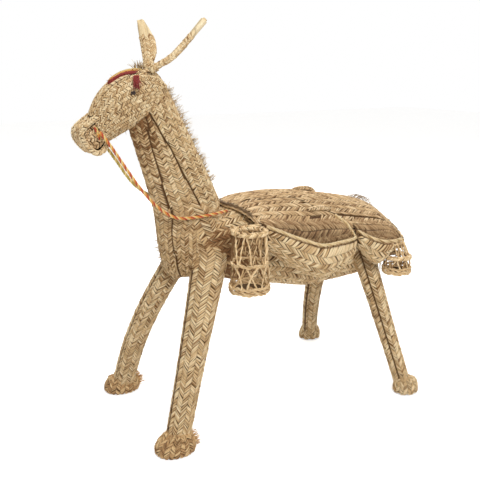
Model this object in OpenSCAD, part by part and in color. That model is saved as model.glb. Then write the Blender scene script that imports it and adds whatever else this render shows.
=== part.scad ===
// Woven grass donkey with a lift-off pannier set, standing free on its four hooves.
// Millimetres, +Z up. The donkey faces -X, its left side is -Y and the floor is z = 0.

/* [Plait and thread] */
// Thickness of the woven skin on barrel, neck, head and legs
skin = 6; // [4:0.5:8]
// Gap left where two pieces are sewn together
sew_gap = 0.4; // [0.3:0.1:0.8]
// Clearance between a stuffed skin and the straw in it
stuff_gap = 1; // [0.8:0.1:1.5]
// Clearance between a stick and the straw round it
stick_fit = 0.3; // [0.2:0.1:0.8]
// Diameter of the bridle cord
cord_d = 5; // [4:0.5:6]

/* [Barrel] */
// Height of the back at its highest point
back_height = 346; // [338:1:352]
// Height of the belly at its lowest point
belly_height = 179; // [172:1:186]
// Width of the barrel at its widest
barrel_width = 124; // [112:1:130]
// Diameter of the stick along the spine
spine_d = 14; // [10:1:18]

/* [Neck and head] */
// Width of the chest
chest_width = 62; // [56:1:66]
// Width of the neck under the head
throat_width = 44; // [40:1:50]
// Width of the head across the cheeks
head_width = 56; // [52:1:62]
// Width of the muzzle
muzzle_width = 44; // [40:1:48]
// Diameter of the stick in the neck
neck_stick_d = 12; // [8:1:16]
// Length of the mane's cut fibres
mane_length = 15; // [8:1:18]
// Width of the strip that carries the mane
mane_width = 14; // [8:1:18]

/* [Ears] */
// Width of an ear at its widest
ear_width = 24; // [18:1:28]
// Thickness of an ear
ear_thickness = 9; // [6:1:11]
// Diameter of the rolled ear root
ear_root_d = 10; // [8:1:12]
// Length of the rolled ear root
ear_root_length = 14; // [10:1:16]

/* [Legs and hooves] */
// Diameter of a front leg at the ankle
front_ankle_d = 36; // [32:1:40]
// Diameter of a front leg at the shoulder
front_shoulder_d = 58; // [52:1:62]
// Diameter of the right front leg at the shoulder, which is sewn slimmer
slim_shoulder_d = 46; // [42:1:50]
// Diameter of a rear leg at the ankle
rear_ankle_d = 28; // [26:1:32]
// Diameter of a rear leg at the hip
rear_hip_d = 42; // [38:1:46]
// Diameter of the stick in a leg
leg_stick_d = 10; // [6:1:12]
// Front hoof, toe to heel
front_hoof_length = 64; // [58:1:70]
// Front hoof, side to side
front_hoof_width = 54; // [50:1:60]
// Rear hoof, toe to heel
rear_hoof_length = 45; // [42:1:52]
// Rear hoof, side to side
rear_hoof_width = 41; // [38:1:48]
// Height of a hoof at the toe
hoof_height = 24; // [18:1:30]
// Thickness of a hoof's sole
sole = 6; // [4:0.5:10]

/* [Pannier set] */
// Thickness of the saddle cover
cover_t = 7; // [5:0.5:9]
// Clearance between the cover and the back that it rests on
drape_gap = 0.9; // [0.7:0.1:1.2]
// Half width of the cover, from ridge to pocket
cover_half = 78; // [74:1:82]
// Front edge of the cover at the ridge
cover_front = -46; // [-47:1:-40]
// Rear edge of the cover
cover_rear = 274; // [268:1:280]
// Wall of a pocket
pocket_t = 5; // [3:0.5:6]
// How far a front pocket reaches out at its middle
front_reach = 48; // [40:1:52]
// How far a rear pocket reaches out at its middle
rear_reach = 36; // [30:1:38]
// Depth of a front pocket below the cover's edge
front_depth = 66; // [55:1:70]
// Depth of a rear pocket below the cover's edge
rear_depth = 52; // [45:1:54]
// Diameter of the corded pocket rim
rim_d = 7; // [5:0.5:8]
// Length of the carry loop along the ridge
loop_length = 48; // [40:1:60]
// Height of the carry loop over the ridge
loop_height = 8; // [7:1:14]
// Diameter of the carry loop's cord
loop_d = 5; // [4:0.5:7]

/* [Holders] */
// Radius of a holder's top ring, to the middle of the cord
holder_top_r = 24.5; // [23:0.5:27]
// Radius of a holder's base ring, to the middle of the cord
holder_base_r = 29.5; // [27:0.5:32]
// Radius of a rear holder's top ring
rear_top_r = 21; // [19:0.5:23]
// Radius of a rear holder's base ring
rear_base_r = 23; // [20:0.5:25]
// Height of a front holder, ring to ring
holder_height = 89; // [80:1:100]
// Height of a rear holder, ring to ring
rear_holder_height = 26; // [24:1:30]
// Diameter of the ring cords
ring_d = 7; // [5:0.5:8]
// Diameter of the lattice strands
strand_d = 4; // [3:0.5:5]
// Lattice bays round a holder
bays = 9; // [7:1:12]
// Diameter of the hanger cord that a front holder swings on
hanger_d = 5; // [4:0.5:6]
// Clearance between the hanger cord and a holder's eyes
hanger_fit = 0.6; // [0.4:0.1:1]

/* [Hidden] */

straw = [0.74, 0.60, 0.38];
dark_straw = [0.52, 0.39, 0.22];
pale_straw = [0.86, 0.76, 0.54];
wood = [0.55, 0.40, 0.24];
red_wool = [0.55, 0.09, 0.07];
bridle = [0.85, 0.48, 0.20];

// Left is the side of -Y.
left = -1;
right = 1;

// Points round a stuffed section and how square its corners are
sides = 16;
plump = 0.86;

// Outline of the barrel along X: height against back and belly, and share of the full width.
barrel_front = -100;
barrel_rear = 258;
barrel_stations = [-100, -60, -15, 40, 100, 160, 210, 240, 258];
back_line = [
    [-100, -37], [-60, -18], [-15, -3], [40, 0], [100, -5],
    [160, -17], [210, -27], [240, -37], [258, -52], [280, -72]
];
belly_line = [
    [-100, 55], [-60, 42], [-15, 26], [40, 15], [100, 0], [160, 2],
    [210, 5], [240, 9], [258, 24]
];
girth_line = [
    [-100, 0.62], [-60, 0.80], [-15, 0.92], [40, 0.99], [100, 1],
    [160, 0.98], [210, 0.95], [240, 0.90], [258, 0.70]
];

// Outline of the neck by height: front and rear edge.
neck_stations = [238, 250, 277, 311, 345, 380, 415, 460, 506, 522];
neck_front = [
    [238, -144], [250, -153], [277, -159], [311, -163], [345, -168],
    [380, -177], [415, -187], [460, -200], [522, -212]
];
neck_rear = [
    [238, -90], [250, -76], [277, -62], [311, -54], [345, -52],
    [380, -69], [415, -86], [460, -109], [522, -141]
];
chest_z = 277;
throat_z = 506;

// Outline of the head from the muzzle to the nape: top point, bottom point, share of the width.
head_stations = [
    [[-260, 488], [-243, 445], 0.71],
    [[-250, 511], [-234, 449], 0.82],
    [[-233, 531], [-222, 455], 0.93],
    [[-210, 545], [-206, 463], 1],
    [[-183, 552], [-188, 472], 1],
    [[-160, 549], [-172, 482], 0.89],
    [[-146, 535], [-160, 488], 0.64]
];
muzzle_stations = [
    [[-280, 457], [-264, 436], 0.62],
    [[-284, 465], [-259, 430], 0.92],
    [[-276, 476], [-250, 430], 1],
    [[-268, 483], [-248, 438], 0.95]
];
// How far the muzzle is drawn in where the noseband lies
muzzle_notch = 3.5;

// Each leg: hoof centre on the floor, centre at the top, height of the top, bow along X.
front_top = 270;
rear_top = 250;
front_left = [[-192, -115], [-78, -19], front_top, 0];
front_right = [[-190, 115], [-108, 19], front_top, -18];
rear_left = [[238, -142], [199, -51], rear_top, 0];
rear_right = [[235, 142], [206, 51], rear_top, -12];
leg_ring_count = 8;
heel_rise = 0.16;

// Ear centre lines from the root, and the direction of an ear's width.
left_ear_line = [
    [-172, -18, 548], [-160, -22, 556], [-145, -27, 564],
    [-127, -32, 582], [-111, -37, 601], [-96, -42, 619]
];
right_ear_line = [
    [-161, 20, 548], [-157, 25, 560], [-152, 32, 574],
    [-151, 39, 589], [-153, 47, 604], [-156, 54, 619]
];
left_ear_width = [0.36, 0.93, 0];
right_ear_width = [0.87, -0.49, 0];
// Share of the full width from root to tip
ear_outline = [0.42, 0.62, 0.96, 1, 0.78, 0.46];

// Tail root on the rump
tail_z = 268;
tail_d = 10;
tail_fit = 0.6;
tail_strands = 14;
tail_drop = 88;

// Reins: hand-picked points from the noseband, past the chest, to the withers.
left_rein_route = [
    [-254, -26.7, 466], [-247, -28.5, 456], [-240, -29, 446], [-233, -29, 435],
    [-226, -29, 424], [-219, -29, 413], [-212, -30, 402], [-205, -30, 391],
    [-197, -31, 380], [-189, -31, 370], [-181, -32, 360], [-172, -32, 351],
    [-162, -33, 343], [-151, -34, 336], [-139, -35, 332], [-127, -35, 331],
    [-115, -35, 331], [-103, -35, 331], [-91, -35, 332], [-79, -34, 332.5],
    [-68, -30, 332.5], [-58, -25, 332], [-50, -19, 331.8]
];
right_rein_route = [
    [-254, 26.7, 466], [-248, 28.3, 459], [-240, 29, 452], [-231, 29, 443],
    [-223, 29, 433], [-215, 29, 421], [-207, 29, 409], [-199, 30, 396],
    [-191, 30, 385], [-182, 31, 375], [-172, 32, 367], [-161, 34, 360],
    [-149, 35, 354], [-137, 35, 349], [-125, 35, 345], [-113, 35, 342],
    [-101, 35, 340], [-89, 35, 338], [-77, 34, 336], [-66, 29, 334],
    [-57, 24, 332.5], [-50, 19, 331.8]
];

// Pannier: how far the cover falls from ridge to edge, by X
cover_fall = [[-30, 28], [60, 50], [140, 43], [200, 41], [274, 30]];
cover_sweep = 22;
front_pocket_x = [-17, 158];
rear_pocket_x = [162, 263];
// A pocket narrows to this at its sewn ends
pocket_lip = 1.5 * pocket_t + 2 * sew_gap;

// Holder centres
front_holder_x = -60;
rear_holder_x = 233;
rear_holder_y = 108;
rear_holder_z = 239;
base_t = 4;

// Small helpers
function mix(a, b, t) = a + (b - a) * t;
function unit(v) = v / norm(v);

// One closed section: u and v are its half axes, e squares its corners.
function oval(c, u, v, e = plump, n = sides) = [
    for (i = [0 : n - 1])
        let (p = cos(360 * i / n), q = sin(360 * i / n))
        c + u * sign(p) * pow(abs(p), e) + v * sign(q) * pow(abs(q), e)
];

// Faces between neighbouring rings of n points that start at point s.
function ring_faces(count, n, s = 0, inward = false) = [
    for (j = [0 : count - 2], i = [0 : n - 1])
        let (
            a = s + j * n + i,
            b = s + j * n + (i + 1) % n,
            f = [a, a + n, b + n, b]
        )
        inward ? [f[3], f[2], f[1], f[0]] : f
];
function cap_first(n, s = 0) = [for (i = [0 : n - 1]) s + i];
function cap_last(n, s) = [for (i = [n - 1 : -1 : 0]) s + i];
function annulus(n, o, i0, flip) = [
    for (i = [0 : n - 1])
        let (k = (i + 1) % n, f = [o + i, o + k, i0 + k, i0 + i])
        flip ? [f[3], f[2], f[1], f[0]] : f
];
function flat(list) = [for (ring = list) each ring];

// A filled form through the rings.
module loft(rings) {
    n = len(rings[0]);
    last = (len(rings) - 1) * n;
    polyhedron(
        flat(rings),
        concat(ring_faces(len(rings), n), [cap_first(n)], [cap_last(n, last)])
    );
}

// An open tube of skin between two sets of rings.
module sleeve(outer, inner) {
    n = len(outer[0]);
    s = len(outer) * n;
    polyhedron(
        concat(flat(outer), flat(inner)),
        concat(
            ring_faces(len(outer), n),
            ring_faces(len(inner), n, s, true),
            annulus(n, 0, s, false),
            annulus(n, s - n, s + (len(inner) - 1) * n, true)
        )
    );
}

// A skin that is open at the first ring and closed at the last.
module cup(outer, inner) {
    n = len(outer[0]);
    s = len(outer) * n;
    polyhedron(
        concat(flat(outer), flat(inner)),
        concat(
            ring_faces(len(outer), n),
            [cap_last(n, s - n)],
            ring_faces(len(inner), n, s, true),
            [cap_first(n, s + (len(inner) - 1) * n)],
            annulus(n, 0, s, false)
        )
    );
}

// A tube along a route, open ended or closed into a ring.
function route_way(route, i) =
    unit(route[min(i + 1, len(route) - 1)] - route[max(i - 1, 0)]);
function tube_rings(route, r, n, up) = [
    for (i = [0 : len(route) - 1])
        let (way = route_way(route, i), u = unit(cross(way, up)), v = cross(way, u))
        oval(route[i], u * r, v * r, 1, n)
];
module tube(route, d, n = 8, up = [0, 0, 1]) loft(tube_rings(route, d / 2, n, up));

// A cloth between a top grid and a bottom grid of points.
module sheet(top, bottom) {
    a = len(top);
    b = len(top[0]);
    s = a * b;
    function t(i, j) = i * b + j;
    polyhedron(
        concat(flat(top), flat(bottom)),
        concat(
            [for (i = [0 : a - 2], j = [0 : b - 2])
                [t(i, j), t(i, j + 1), t(i + 1, j + 1), t(i + 1, j)]],
            [for (i = [0 : a - 2], j = [0 : b - 2])
                [s + t(i + 1, j), s + t(i + 1, j + 1), s + t(i, j + 1), s + t(i, j)]],
            [for (i = [0 : a - 2]) [t(i, 0), t(i + 1, 0), s + t(i + 1, 0), s + t(i, 0)]],
            [for (i = [0 : a - 2])
                [t(i + 1, b - 1), t(i, b - 1), s + t(i, b - 1), s + t(i + 1, b - 1)]],
            [for (j = [0 : b - 2]) [t(0, j + 1), t(0, j), s + t(0, j), s + t(0, j + 1)]],
            [for (j = [0 : b - 2])
                [t(a - 1, j), t(a - 1, j + 1), s + t(a - 1, j + 1), s + t(a - 1, j)]]
        )
    );
}

// A strip of backing with one cut fibre standing on each cell.
module fringe(top, bottom, tips) {
    a = len(top);
    b = len(top[0]);
    s = a * b;
    p = 2 * s;
    function t(i, j) = i * b + j;
    function tip(i, j) = p + i * (b - 1) + j;
    polyhedron(
        concat(flat(top), flat(bottom), flat(tips)),
        concat(
            [for (i = [0 : a - 2], j = [0 : b - 2]) [t(i, j), t(i, j + 1), tip(i, j)]],
            [for (i = [0 : a - 2], j = [0 : b - 2])
                [t(i, j + 1), t(i + 1, j + 1), tip(i, j)]],
            [for (i = [0 : a - 2], j = [0 : b - 2])
                [t(i + 1, j + 1), t(i + 1, j), tip(i, j)]],
            [for (i = [0 : a - 2], j = [0 : b - 2]) [t(i + 1, j), t(i, j), tip(i, j)]],
            [for (i = [0 : a - 2], j = [0 : b - 2])
                [s + t(i + 1, j), s + t(i + 1, j + 1), s + t(i, j + 1), s + t(i, j)]],
            [for (i = [0 : a - 2]) [t(i, 0), t(i + 1, 0), s + t(i + 1, 0), s + t(i, 0)]],
            [for (i = [0 : a - 2])
                [t(i + 1, b - 1), t(i, b - 1), s + t(i, b - 1), s + t(i + 1, b - 1)]],
            [for (j = [0 : b - 2]) [t(0, j + 1), t(0, j), s + t(0, j), s + t(0, j + 1)]],
            [for (j = [0 : b - 2])
                [t(a - 1, j), t(a - 1, j + 1), s + t(a - 1, j + 1), s + t(a - 1, j)]]
        )
    );
}

// A round stick from one point to another.
module stick(from, to, d) {
    way = to - from;
    translate(from)
        rotate([0, acos(way[2] / norm(way)), atan2(way[1], way[0])])
            cylinder(d = d, h = norm(way), $fn = 32);
}

// Barrel
function back(x) = back_height + lookup(x, back_line);
function belly(x) = belly_height + lookup(x, belly_line);
function girth(x) = barrel_width / 2 * lookup(x, girth_line);
function barrel_ring(x, inset) = oval(
    [x, 0, (back(x) + belly(x)) / 2],
    [0, girth(x) - inset, 0],
    [0, 0, (back(x) - belly(x)) / 2 - inset]
);
function barrel_rings(inset, trim = 0) = [
    for (x = barrel_stations)
        let (at = min(x, barrel_rear - trim))
        if (x == barrel_rear || x < barrel_rear - trim) barrel_ring(at, inset)
];
spine_z = (back(barrel_front) + belly(barrel_front)) / 2;
spine_from = [barrel_front - 24, 0, spine_z];
spine_to = [barrel_rear - 34, 0, spine_z];

module barrel_form() loft(concat(
    [barrel_ring(barrel_front - sew_gap, -sew_gap)],
    [for (x = barrel_stations) barrel_ring(x, -sew_gap)],
    [barrel_ring(barrel_rear + sew_gap, -sew_gap)]
));

module barrel_skin() color(straw) difference() {
    cup(barrel_rings(0), barrel_rings(skin, skin));
    translate([barrel_rear - skin - 3, 0, tail_z])
        rotate([0, 90, 0]) cylinder(d = tail_d + 2 * tail_fit, h = skin + 6, $fn = 32);
}

module barrel_stuffing() color(dark_straw) difference() {
    loft(barrel_rings(skin + stuff_gap, skin + 4));
    stick(spine_from, spine_to + [stick_fit, 0, 0], spine_d + 2 * stick_fit);
}

module spine_stick() color(wood) stick(spine_from, spine_to, spine_d);

// Neck
function neck_half(z) = z < chest_z
    ? chest_width / 2 * mix(0.66, 1, sqrt((z - neck_stations[0]) / (chest_z - neck_stations[0])))
    : mix(chest_width, throat_width, pow(min(1, (z - chest_z) / (throat_z - chest_z)), 0.8)) / 2;
function neck_ring(z, inset, at) = oval(
    [(lookup(z, neck_front) + lookup(z, neck_rear)) / 2, 0, at],
    [(lookup(z, neck_rear) - lookup(z, neck_front)) / 2 - inset, 0, 0],
    [0, neck_half(z) - inset, 0]
);
neck_bottom = neck_stations[0];
neck_top = neck_stations[len(neck_stations) - 1];
function neck_rings(inset, trim) = [
    for (z = neck_stations)
        neck_ring(z, inset, z == neck_bottom ? z + trim : z)
];
neck_stick_from = [-112, 0, spine_z + spine_d / 2 + sew_gap + neck_stick_d / 4];
neck_stick_to = [-172, 0, 508];

module neck_form() loft(neck_rings(-sew_gap, -sew_gap));

module neck_skin() color(straw) difference() {
    cup(
        [for (k = [len(neck_stations) - 1 : -1 : 0]) flip_ring(neck_rings(0, 0)[k])],
        [for (k = [len(neck_stations) - 1 : -1 : 0]) flip_ring(neck_rings(skin, skin)[k])]
    );
    barrel_form();
    head_form();
}
// Reversed ring order, for a skin that is closed at its lower end.
function flip_ring(ring) = [for (i = [len(ring) - 1 : -1 : 0]) ring[i]];

module neck_stuffing() color(dark_straw) difference() {
    loft(neck_rings(skin + stuff_gap, skin + stuff_gap));
    barrel_form();
    head_form();
    stick(spine_from - [stick_fit, 0, 0], spine_to, spine_d + 2 * stick_fit);
    stick(neck_stick_from, neck_stick_to, neck_stick_d + 2 * stick_fit);
}

module neck_stick() color(wood) difference() {
    stick(neck_stick_from, neck_stick_to, neck_stick_d);
    stick(spine_from - [1, 0, 0], spine_to, spine_d + 2 * sew_gap);
}

// Head
function side_ring(s, full, inset, shift = [0, 0, 0]) =
    let (
        top = [s[0][0], 0, s[0][1]],
        low = [s[1][0], 0, s[1][1]],
        deep = (top - low) / 2
    )
    oval(
        (top + low) / 2 + shift,
        [0, full / 2 * s[2] - inset, 0],
        deep - unit(deep) * inset
    );
head_way = unit([43, 0, 17]);
function head_rings(inset, trim) = [
    for (k = [0 : len(head_stations) - 1])
        side_ring(
            head_stations[k], head_width, inset,
            k == len(head_stations) - 1 ? -head_way * trim : [0, 0, 0]
        )
];
module head_form() loft(head_rings(-sew_gap, -sew_gap));

module ear_seats() for (line = [left_ear_line, right_ear_line])
    ear_root(line, ear_root_d + 2 * sew_gap, ear_root_length + 2 * sew_gap);

module head_skin() color(straw) difference() {
    cup(head_rings(0, 0), head_rings(skin, skin));
    stick(neck_stick_from, neck_stick_to, neck_stick_d + 2 * stick_fit);
    ear_seats();
}

module head_stuffing() color(dark_straw) difference() {
    loft(head_rings(skin + sew_gap, skin + 2));
    stick(neck_stick_from, neck_stick_to + [-0.3, 0, 1], neck_stick_d + 2 * stick_fit);
    ear_seats();
}

module muzzle() color(straw) difference() {
    loft(concat(
        [for (s = muzzle_stations) side_ring(s, muzzle_width, 0)],
        [side_ring(head_stations[0], head_width, muzzle_notch, -head_way * sew_gap)]
    ));
    noseband_form(cord_d + 2 * sew_gap);
}

noseband_at = head_stations[0];
noseband_ease = 1.6;
head_front = norm(noseband_at[0] - noseband_at[1]);
noseband_c = [
    (noseband_at[0][0] + noseband_at[1][0]) / 2, 0,
    (noseband_at[0][1] + noseband_at[1][1]) / 2
] - head_way * (cord_d / 2 + 2 * sew_gap);
noseband_route = oval(
    noseband_c,
    [0, head_width / 2 * noseband_at[2] + noseband_ease, 0],
    unit([-17, 0, 43]) * (head_front / 2 + cord_d / 2), plump, 26
);
module noseband() color(bridle) noseband_form(cord_d);
module noseband_form(d) {
    n = 6;
    count = len(noseband_route);
    rings = [
        for (i = [0 : count - 1])
            let (
                way = unit(noseband_route[(i + 1) % count] - noseband_route[(i + count - 1) % count]),
                u = head_way,
                v = cross(way, u)
            )
            oval(noseband_route[i], u * d / 2, v * d / 2, 1, n)
    ];
    polyhedron(
        flat(rings),
        concat(
            ring_faces(count, n),
            [for (i = [0 : n - 1])
                let (a = (count - 1) * n + i, b = (count - 1) * n + (i + 1) % n)
                [a, i, (i + 1) % n, b]]
        )
    );
}

// Stitched eyes, one on each cheek
eye_at = [-203, 0, 517];
eye_d = 7;
module eyes() color(dark_straw) for (side = [left, right]) difference() {
    translate([eye_at[0], side * head_width / 2 * 0.96, eye_at[2]])
        rotate([side * -90, 0, 0]) translate([0, 0, -3]) cylinder(d = eye_d, h = 6, $fn = 20);
    head_form();
}

// Mane along the rear edge of the neck, from the withers to the nape
mane_z = [384, 518];
mane_cells = 90;
mane_rows = 3;
mane_backing = 3;
mane_way = unit([0.88, 0, 0.47]);
function mane_point(i, j, out) =
    let (z = mix(mane_z[0], mane_z[1], i / mane_cells))
    [lookup(z, neck_rear) + sew_gap + 0.4, mane_width * (0.5 - j / mane_rows), z]
        + mane_way * out;
module mane() color(straw) fringe(
    [for (i = [0 : mane_cells]) [for (j = [0 : mane_rows]) mane_point(i, j, mane_backing)]],
    [for (i = [0 : mane_cells]) [for (j = [0 : mane_rows]) mane_point(i, j, 0)]],
    [for (i = [0 : mane_cells - 1]) [for (j = [0 : mane_rows - 1])
        mane_point(
            i + 0.5 + 0.8 * sin(53 * i + 131 * j), j + 0.5,
            mane_backing + mane_length * (0.8 + 0.2 * sin(97 * i + 61 * j))
        )]]
);

// Forelock between the ears
lock_x = [-186, -168];
lock_cells = 5;
lock_rows = 3;
lock_width = 12;
lock_length = 12;
function lock_point(i, j, out) = [
    mix(lock_x[0], lock_x[1], i / lock_cells),
    lock_width * (j / lock_rows - 0.5),
    552.4 + sew_gap + out
];
module forelock() color(pale_straw) difference() {
    fringe(
        [for (i = [0 : lock_cells]) [for (j = [0 : lock_rows]) lock_point(i, j, 2)]],
        [for (i = [0 : lock_cells]) [for (j = [0 : lock_rows]) lock_point(i, j, -4)]],
        [for (i = [0 : lock_cells - 1]) [for (j = [0 : lock_rows - 1])
            lock_point(i + 0.2, j + 0.5, lock_length * (0.8 + 0.2 * sin(97 * i + 61 * j)))]]
    );
    head_form();
}

// Wool tassels: one lies on the forehead, one hangs on each cheek
function tassel_rings(line, widths, n = 10) = [
    for (i = [0 : len(line) - 1])
        let (way = route_way(line, i), u = [0, 1, 0], v = cross(way, u))
        oval(line[i], u * widths[i][0], v * widths[i][1], 1, n)
];
forehead_line = [
    [-191, 0, 553], [-199, 0, 552], [-209, 0, 549], [-220, 0, 544], [-232, 0, 536]
];
forehead_size = [[5, 5], [8, 6.5], [10, 7], [9, 6.5], [5, 5]];
module forehead_tassel() color(red_wool) difference() {
    loft(tassel_rings(forehead_line, forehead_size));
    head_form();
}
cheek_z = [541, 524];
cheek_r = [4, 5.5];
module cheek_tassels() color(red_wool) for (side = [left, right]) difference() {
    translate([-197, side * (head_width / 2 + 0.5), cheek_z[1]])
        cylinder(r1 = cheek_r[1], r2 = cheek_r[0], h = cheek_z[0] - cheek_z[1], $fn = 24);
    head_form();
}

module left_rein() color(bridle) tube(left_rein_route, cord_d, 8, [0, 1, 0]);
module right_rein() color(bridle) tube(right_rein_route, cord_d, 8, [0, 1, 0]);

// Ears turn on a rolled root that lies across the head
module ear_root(line, d, length) translate(line[0])
    rotate([90, 0, 0]) cylinder(d = d, h = length, center = true, $fn = 32);
module ear(line, wide) {
    ear_root(line, ear_root_d, ear_root_length);
    loft([
        for (i = [0 : len(line) - 1])
            let (
                way = route_way(line, i),
                u = unit(wide - way * (wide * way)),
                v = cross(way, u)
            )
            oval(
                line[i],
                u * ear_width / 2 * ear_outline[i],
                v * ear_thickness / 2 * mix(0.8, 1, ear_outline[i]), 1, 12
            )
    ]);
}
module left_ear() color(straw) ear(left_ear_line, left_ear_width);
module right_ear() color(straw) ear(right_ear_line, right_ear_width);

// Tail: a round dock in the rump that carries a wisp of fibres
tail_from = barrel_rear - skin + 1;
tail_end = barrel_rear + 13;
function tail_route(k) =
    let (w = (k + 0.5) / tail_strands - 0.5, long = 0.86 + 0.14 * cos(151 * k))
    [for (s = [0 : 0.2 : 1]) [
        tail_end - 5 + 16 * sin(110 * s) + 4 * cos(180 * k) * s,
        w * (6 + 18 * s),
        tail_z - tail_drop * long * pow(s, 1.5) + 4 * sin(180 * s)
    ]];
module tail() color(pale_straw) {
    translate([tail_from, 0, tail_z]) rotate([0, 90, 0])
        cylinder(d = tail_d, h = tail_end - tail_from, $fn = 32);
    for (k = [0 : tail_strands - 1]) tube(tail_route(k), 2.4, 4, [0, 1, 0]);
}

// Legs
function leg_at(leg, z) = let (s = z / leg[2]) [
    mix(leg[0][0], leg[1][0], s) + leg[3] * sin(180 * s),
    mix(leg[0][1], leg[1][1], s),
    z
];
function leg_r(ankle, hip, s) = mix(ankle, hip, pow(s, 1.7)) / 2;
function leg_rings(leg, ankle, hip, inset, trim) = [
    for (k = [0 : leg_ring_count - 1])
        let (
            s = k / (leg_ring_count - 1),
            z = mix(sole + sew_gap + trim, leg[2], s),
            r = leg_r(ankle, hip, s) - inset
        )
        oval(leg_at(leg, z), [r, 0, 0], [0, r, 0], 1, 14)
];
module leg(leg, ankle, hip) difference() {
    sleeve(leg_rings(leg, ankle, hip, 0, 0), leg_rings(leg, ankle, hip, skin, 0));
    barrel_form();
    children();
}
// A leg's stick follows the bow of the leg and stops at the barrel.
function stick_rings(leg, r) = [
    for (k = [0 : leg_ring_count - 1])
        let (z = mix(sole + sew_gap, leg[2], k / (leg_ring_count - 1)))
        oval(leg_at(leg, z), [r, 0, 0], [0, r, 0], 1, 14)
];
module leg_stuffing(leg, ankle, hip) difference() {
    sleeve(
        leg_rings(leg, ankle, hip, skin + sew_gap, 0),
        stick_rings(leg, leg_stick_d / 2 + stick_fit)
    );
    barrel_form();
    children();
}
module leg_stick(leg) difference() {
    loft(stick_rings(leg, leg_stick_d / 2));
    barrel_form();
    children();
}

module front_left_leg() color(straw)
    leg(front_left, front_ankle_d, front_shoulder_d) neck_form();
module front_right_leg() color(straw)
    leg(front_right, front_ankle_d, slim_shoulder_d) neck_form();
module rear_left_leg() color(straw) leg(rear_left, rear_ankle_d, rear_hip_d);
module rear_right_leg() color(straw) leg(rear_right, rear_ankle_d, rear_hip_d);
module front_leg_stuffing() color(dark_straw) {
    leg_stuffing(front_left, front_ankle_d, front_shoulder_d) neck_form();
    leg_stuffing(front_right, front_ankle_d, slim_shoulder_d) neck_form();
}
module rear_leg_stuffing() color(dark_straw) for (leg = [rear_left, rear_right])
    leg_stuffing(leg, rear_ankle_d, rear_hip_d);
module leg_sticks() color(wood) {
    for (leg = [front_left, front_right]) leg_stick(leg) neck_form();
    for (leg = [rear_left, rear_right]) leg_stick(leg);
}

// Hooves: a round toe, a flat sole and a heel that stands up behind the leg
hoof_outline = [[0, 0.90], [0.12, 0.99], [0.45, 1], [0.78, 0.90], [1, 0.78]];
module hoof(leg, long, wide, ankle, hip) color(straw) difference() {
    loft([
        for (h = hoof_outline) [
            for (p = oval([0, 0, 0], [long / 2 * h[1], 0, 0], [0, wide / 2 * h[1], 0], 0.9, 18))
                [
                    leg[0][0] + p[0],
                    leg[0][1] + p[1],
                    hoof_height * h[0] + p[0] * heel_rise * h[0]
                ]
        ]
    ]);
    loft(leg_rings(leg, ankle, hip, -sew_gap, -sew_gap));
}
module front_left_hoof()
    hoof(front_left, front_hoof_length, front_hoof_width, front_ankle_d, front_shoulder_d);
module front_right_hoof()
    hoof(front_right, front_hoof_length, front_hoof_width, front_ankle_d, slim_shoulder_d);
module rear_left_hoof()
    hoof(rear_left, rear_hoof_length, rear_hoof_width, rear_ankle_d, rear_hip_d);
module rear_right_hoof()
    hoof(rear_right, rear_hoof_length, rear_hoof_width, rear_ankle_d, rear_hip_d);

// Saddle cover: a cloth whose ridge rests on the back and whose edges carry the pockets
function cover_z(x, y) = back(x) + drape_gap + cover_t
    - lookup(x, cover_fall) * pow(abs(y) / cover_half, 2.2);
function cover_x0(y) = cover_front + cover_sweep * pow(abs(y) / cover_half, 1.2);
// Rows of the cloth between its edges. They bend where the barrel bends.
cover_bends = [-15, 12, 40, 70, 100, 130, 160, 185, 210, 225, 240, 258];
cover_rows = len(cover_bends) + 1;
cover_columns = 12;
function cover_point(i, j, down) =
    let (
        y = cover_half * (2 * j / cover_columns - 1),
        x = i == 0 ? cover_x0(y) : i == cover_rows ? cover_rear : cover_bends[i - 1]
    )
    [x, y, cover_z(x, y) - down];
function cover_grid(down) = [
    for (i = [0 : cover_rows]) [for (j = [0 : cover_columns]) cover_point(i, j, down)]
];
module saddle_cover() color(straw) sheet(cover_grid(0), cover_grid(cover_t));

// Carry loop, an arch of cord that stands on the ridge
loop_x = 109;
loop_route = [
    for (a = [0 : 15 : 180])
        let (x = loop_x - loop_length / 2 * cos(a))
        [x, 0, cover_z(x, 0) + sew_gap + loop_d / 4 + (loop_height + loop_d / 4) * sin(a)]
];
module carry_loop() color(pale_straw) tube(loop_route, loop_d, 8, [0, 1, 0]);

// Pockets hang from the cover's edge like a boat. q runs from the rim, under, to the edge.
function edge_z(x) = cover_z(x, cover_half) - cover_t / 2;
function front_swell(s) = pow(abs(sin(180 * s)), 0.75);
function front_sag(s) = 20 + (front_depth - 20) * pow(sin(180 * (0.05 + 0.9 * s)), 0.7);
function front_drop(s) = 4 + 15 * sin(90 * min(1, 2.2 * s));
function rear_swell(s) = pow(abs(sin(180 * s)), 0.7);
function rear_sag(s) = 17 + (rear_depth - 17) * exp(-pow((s - 0.28) / 0.24, 2));
function rear_drop(s) = 8 + 11 * sin(180 * pow(s, 0.8));
function pocket_rim(front, s) =
    let (
        span = front ? front_pocket_x : rear_pocket_x,
        x = mix(span[0], span[1], s),
        reach = front ? front_reach : rear_reach,
        swell = front ? front_swell(s) : rear_swell(s)
    )
    [
        x,
        cover_half + sew_gap + pocket_lip + (reach - pocket_lip) * swell,
        edge_z(x) - (front ? front_drop(s) : rear_drop(s))
    ];
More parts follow.
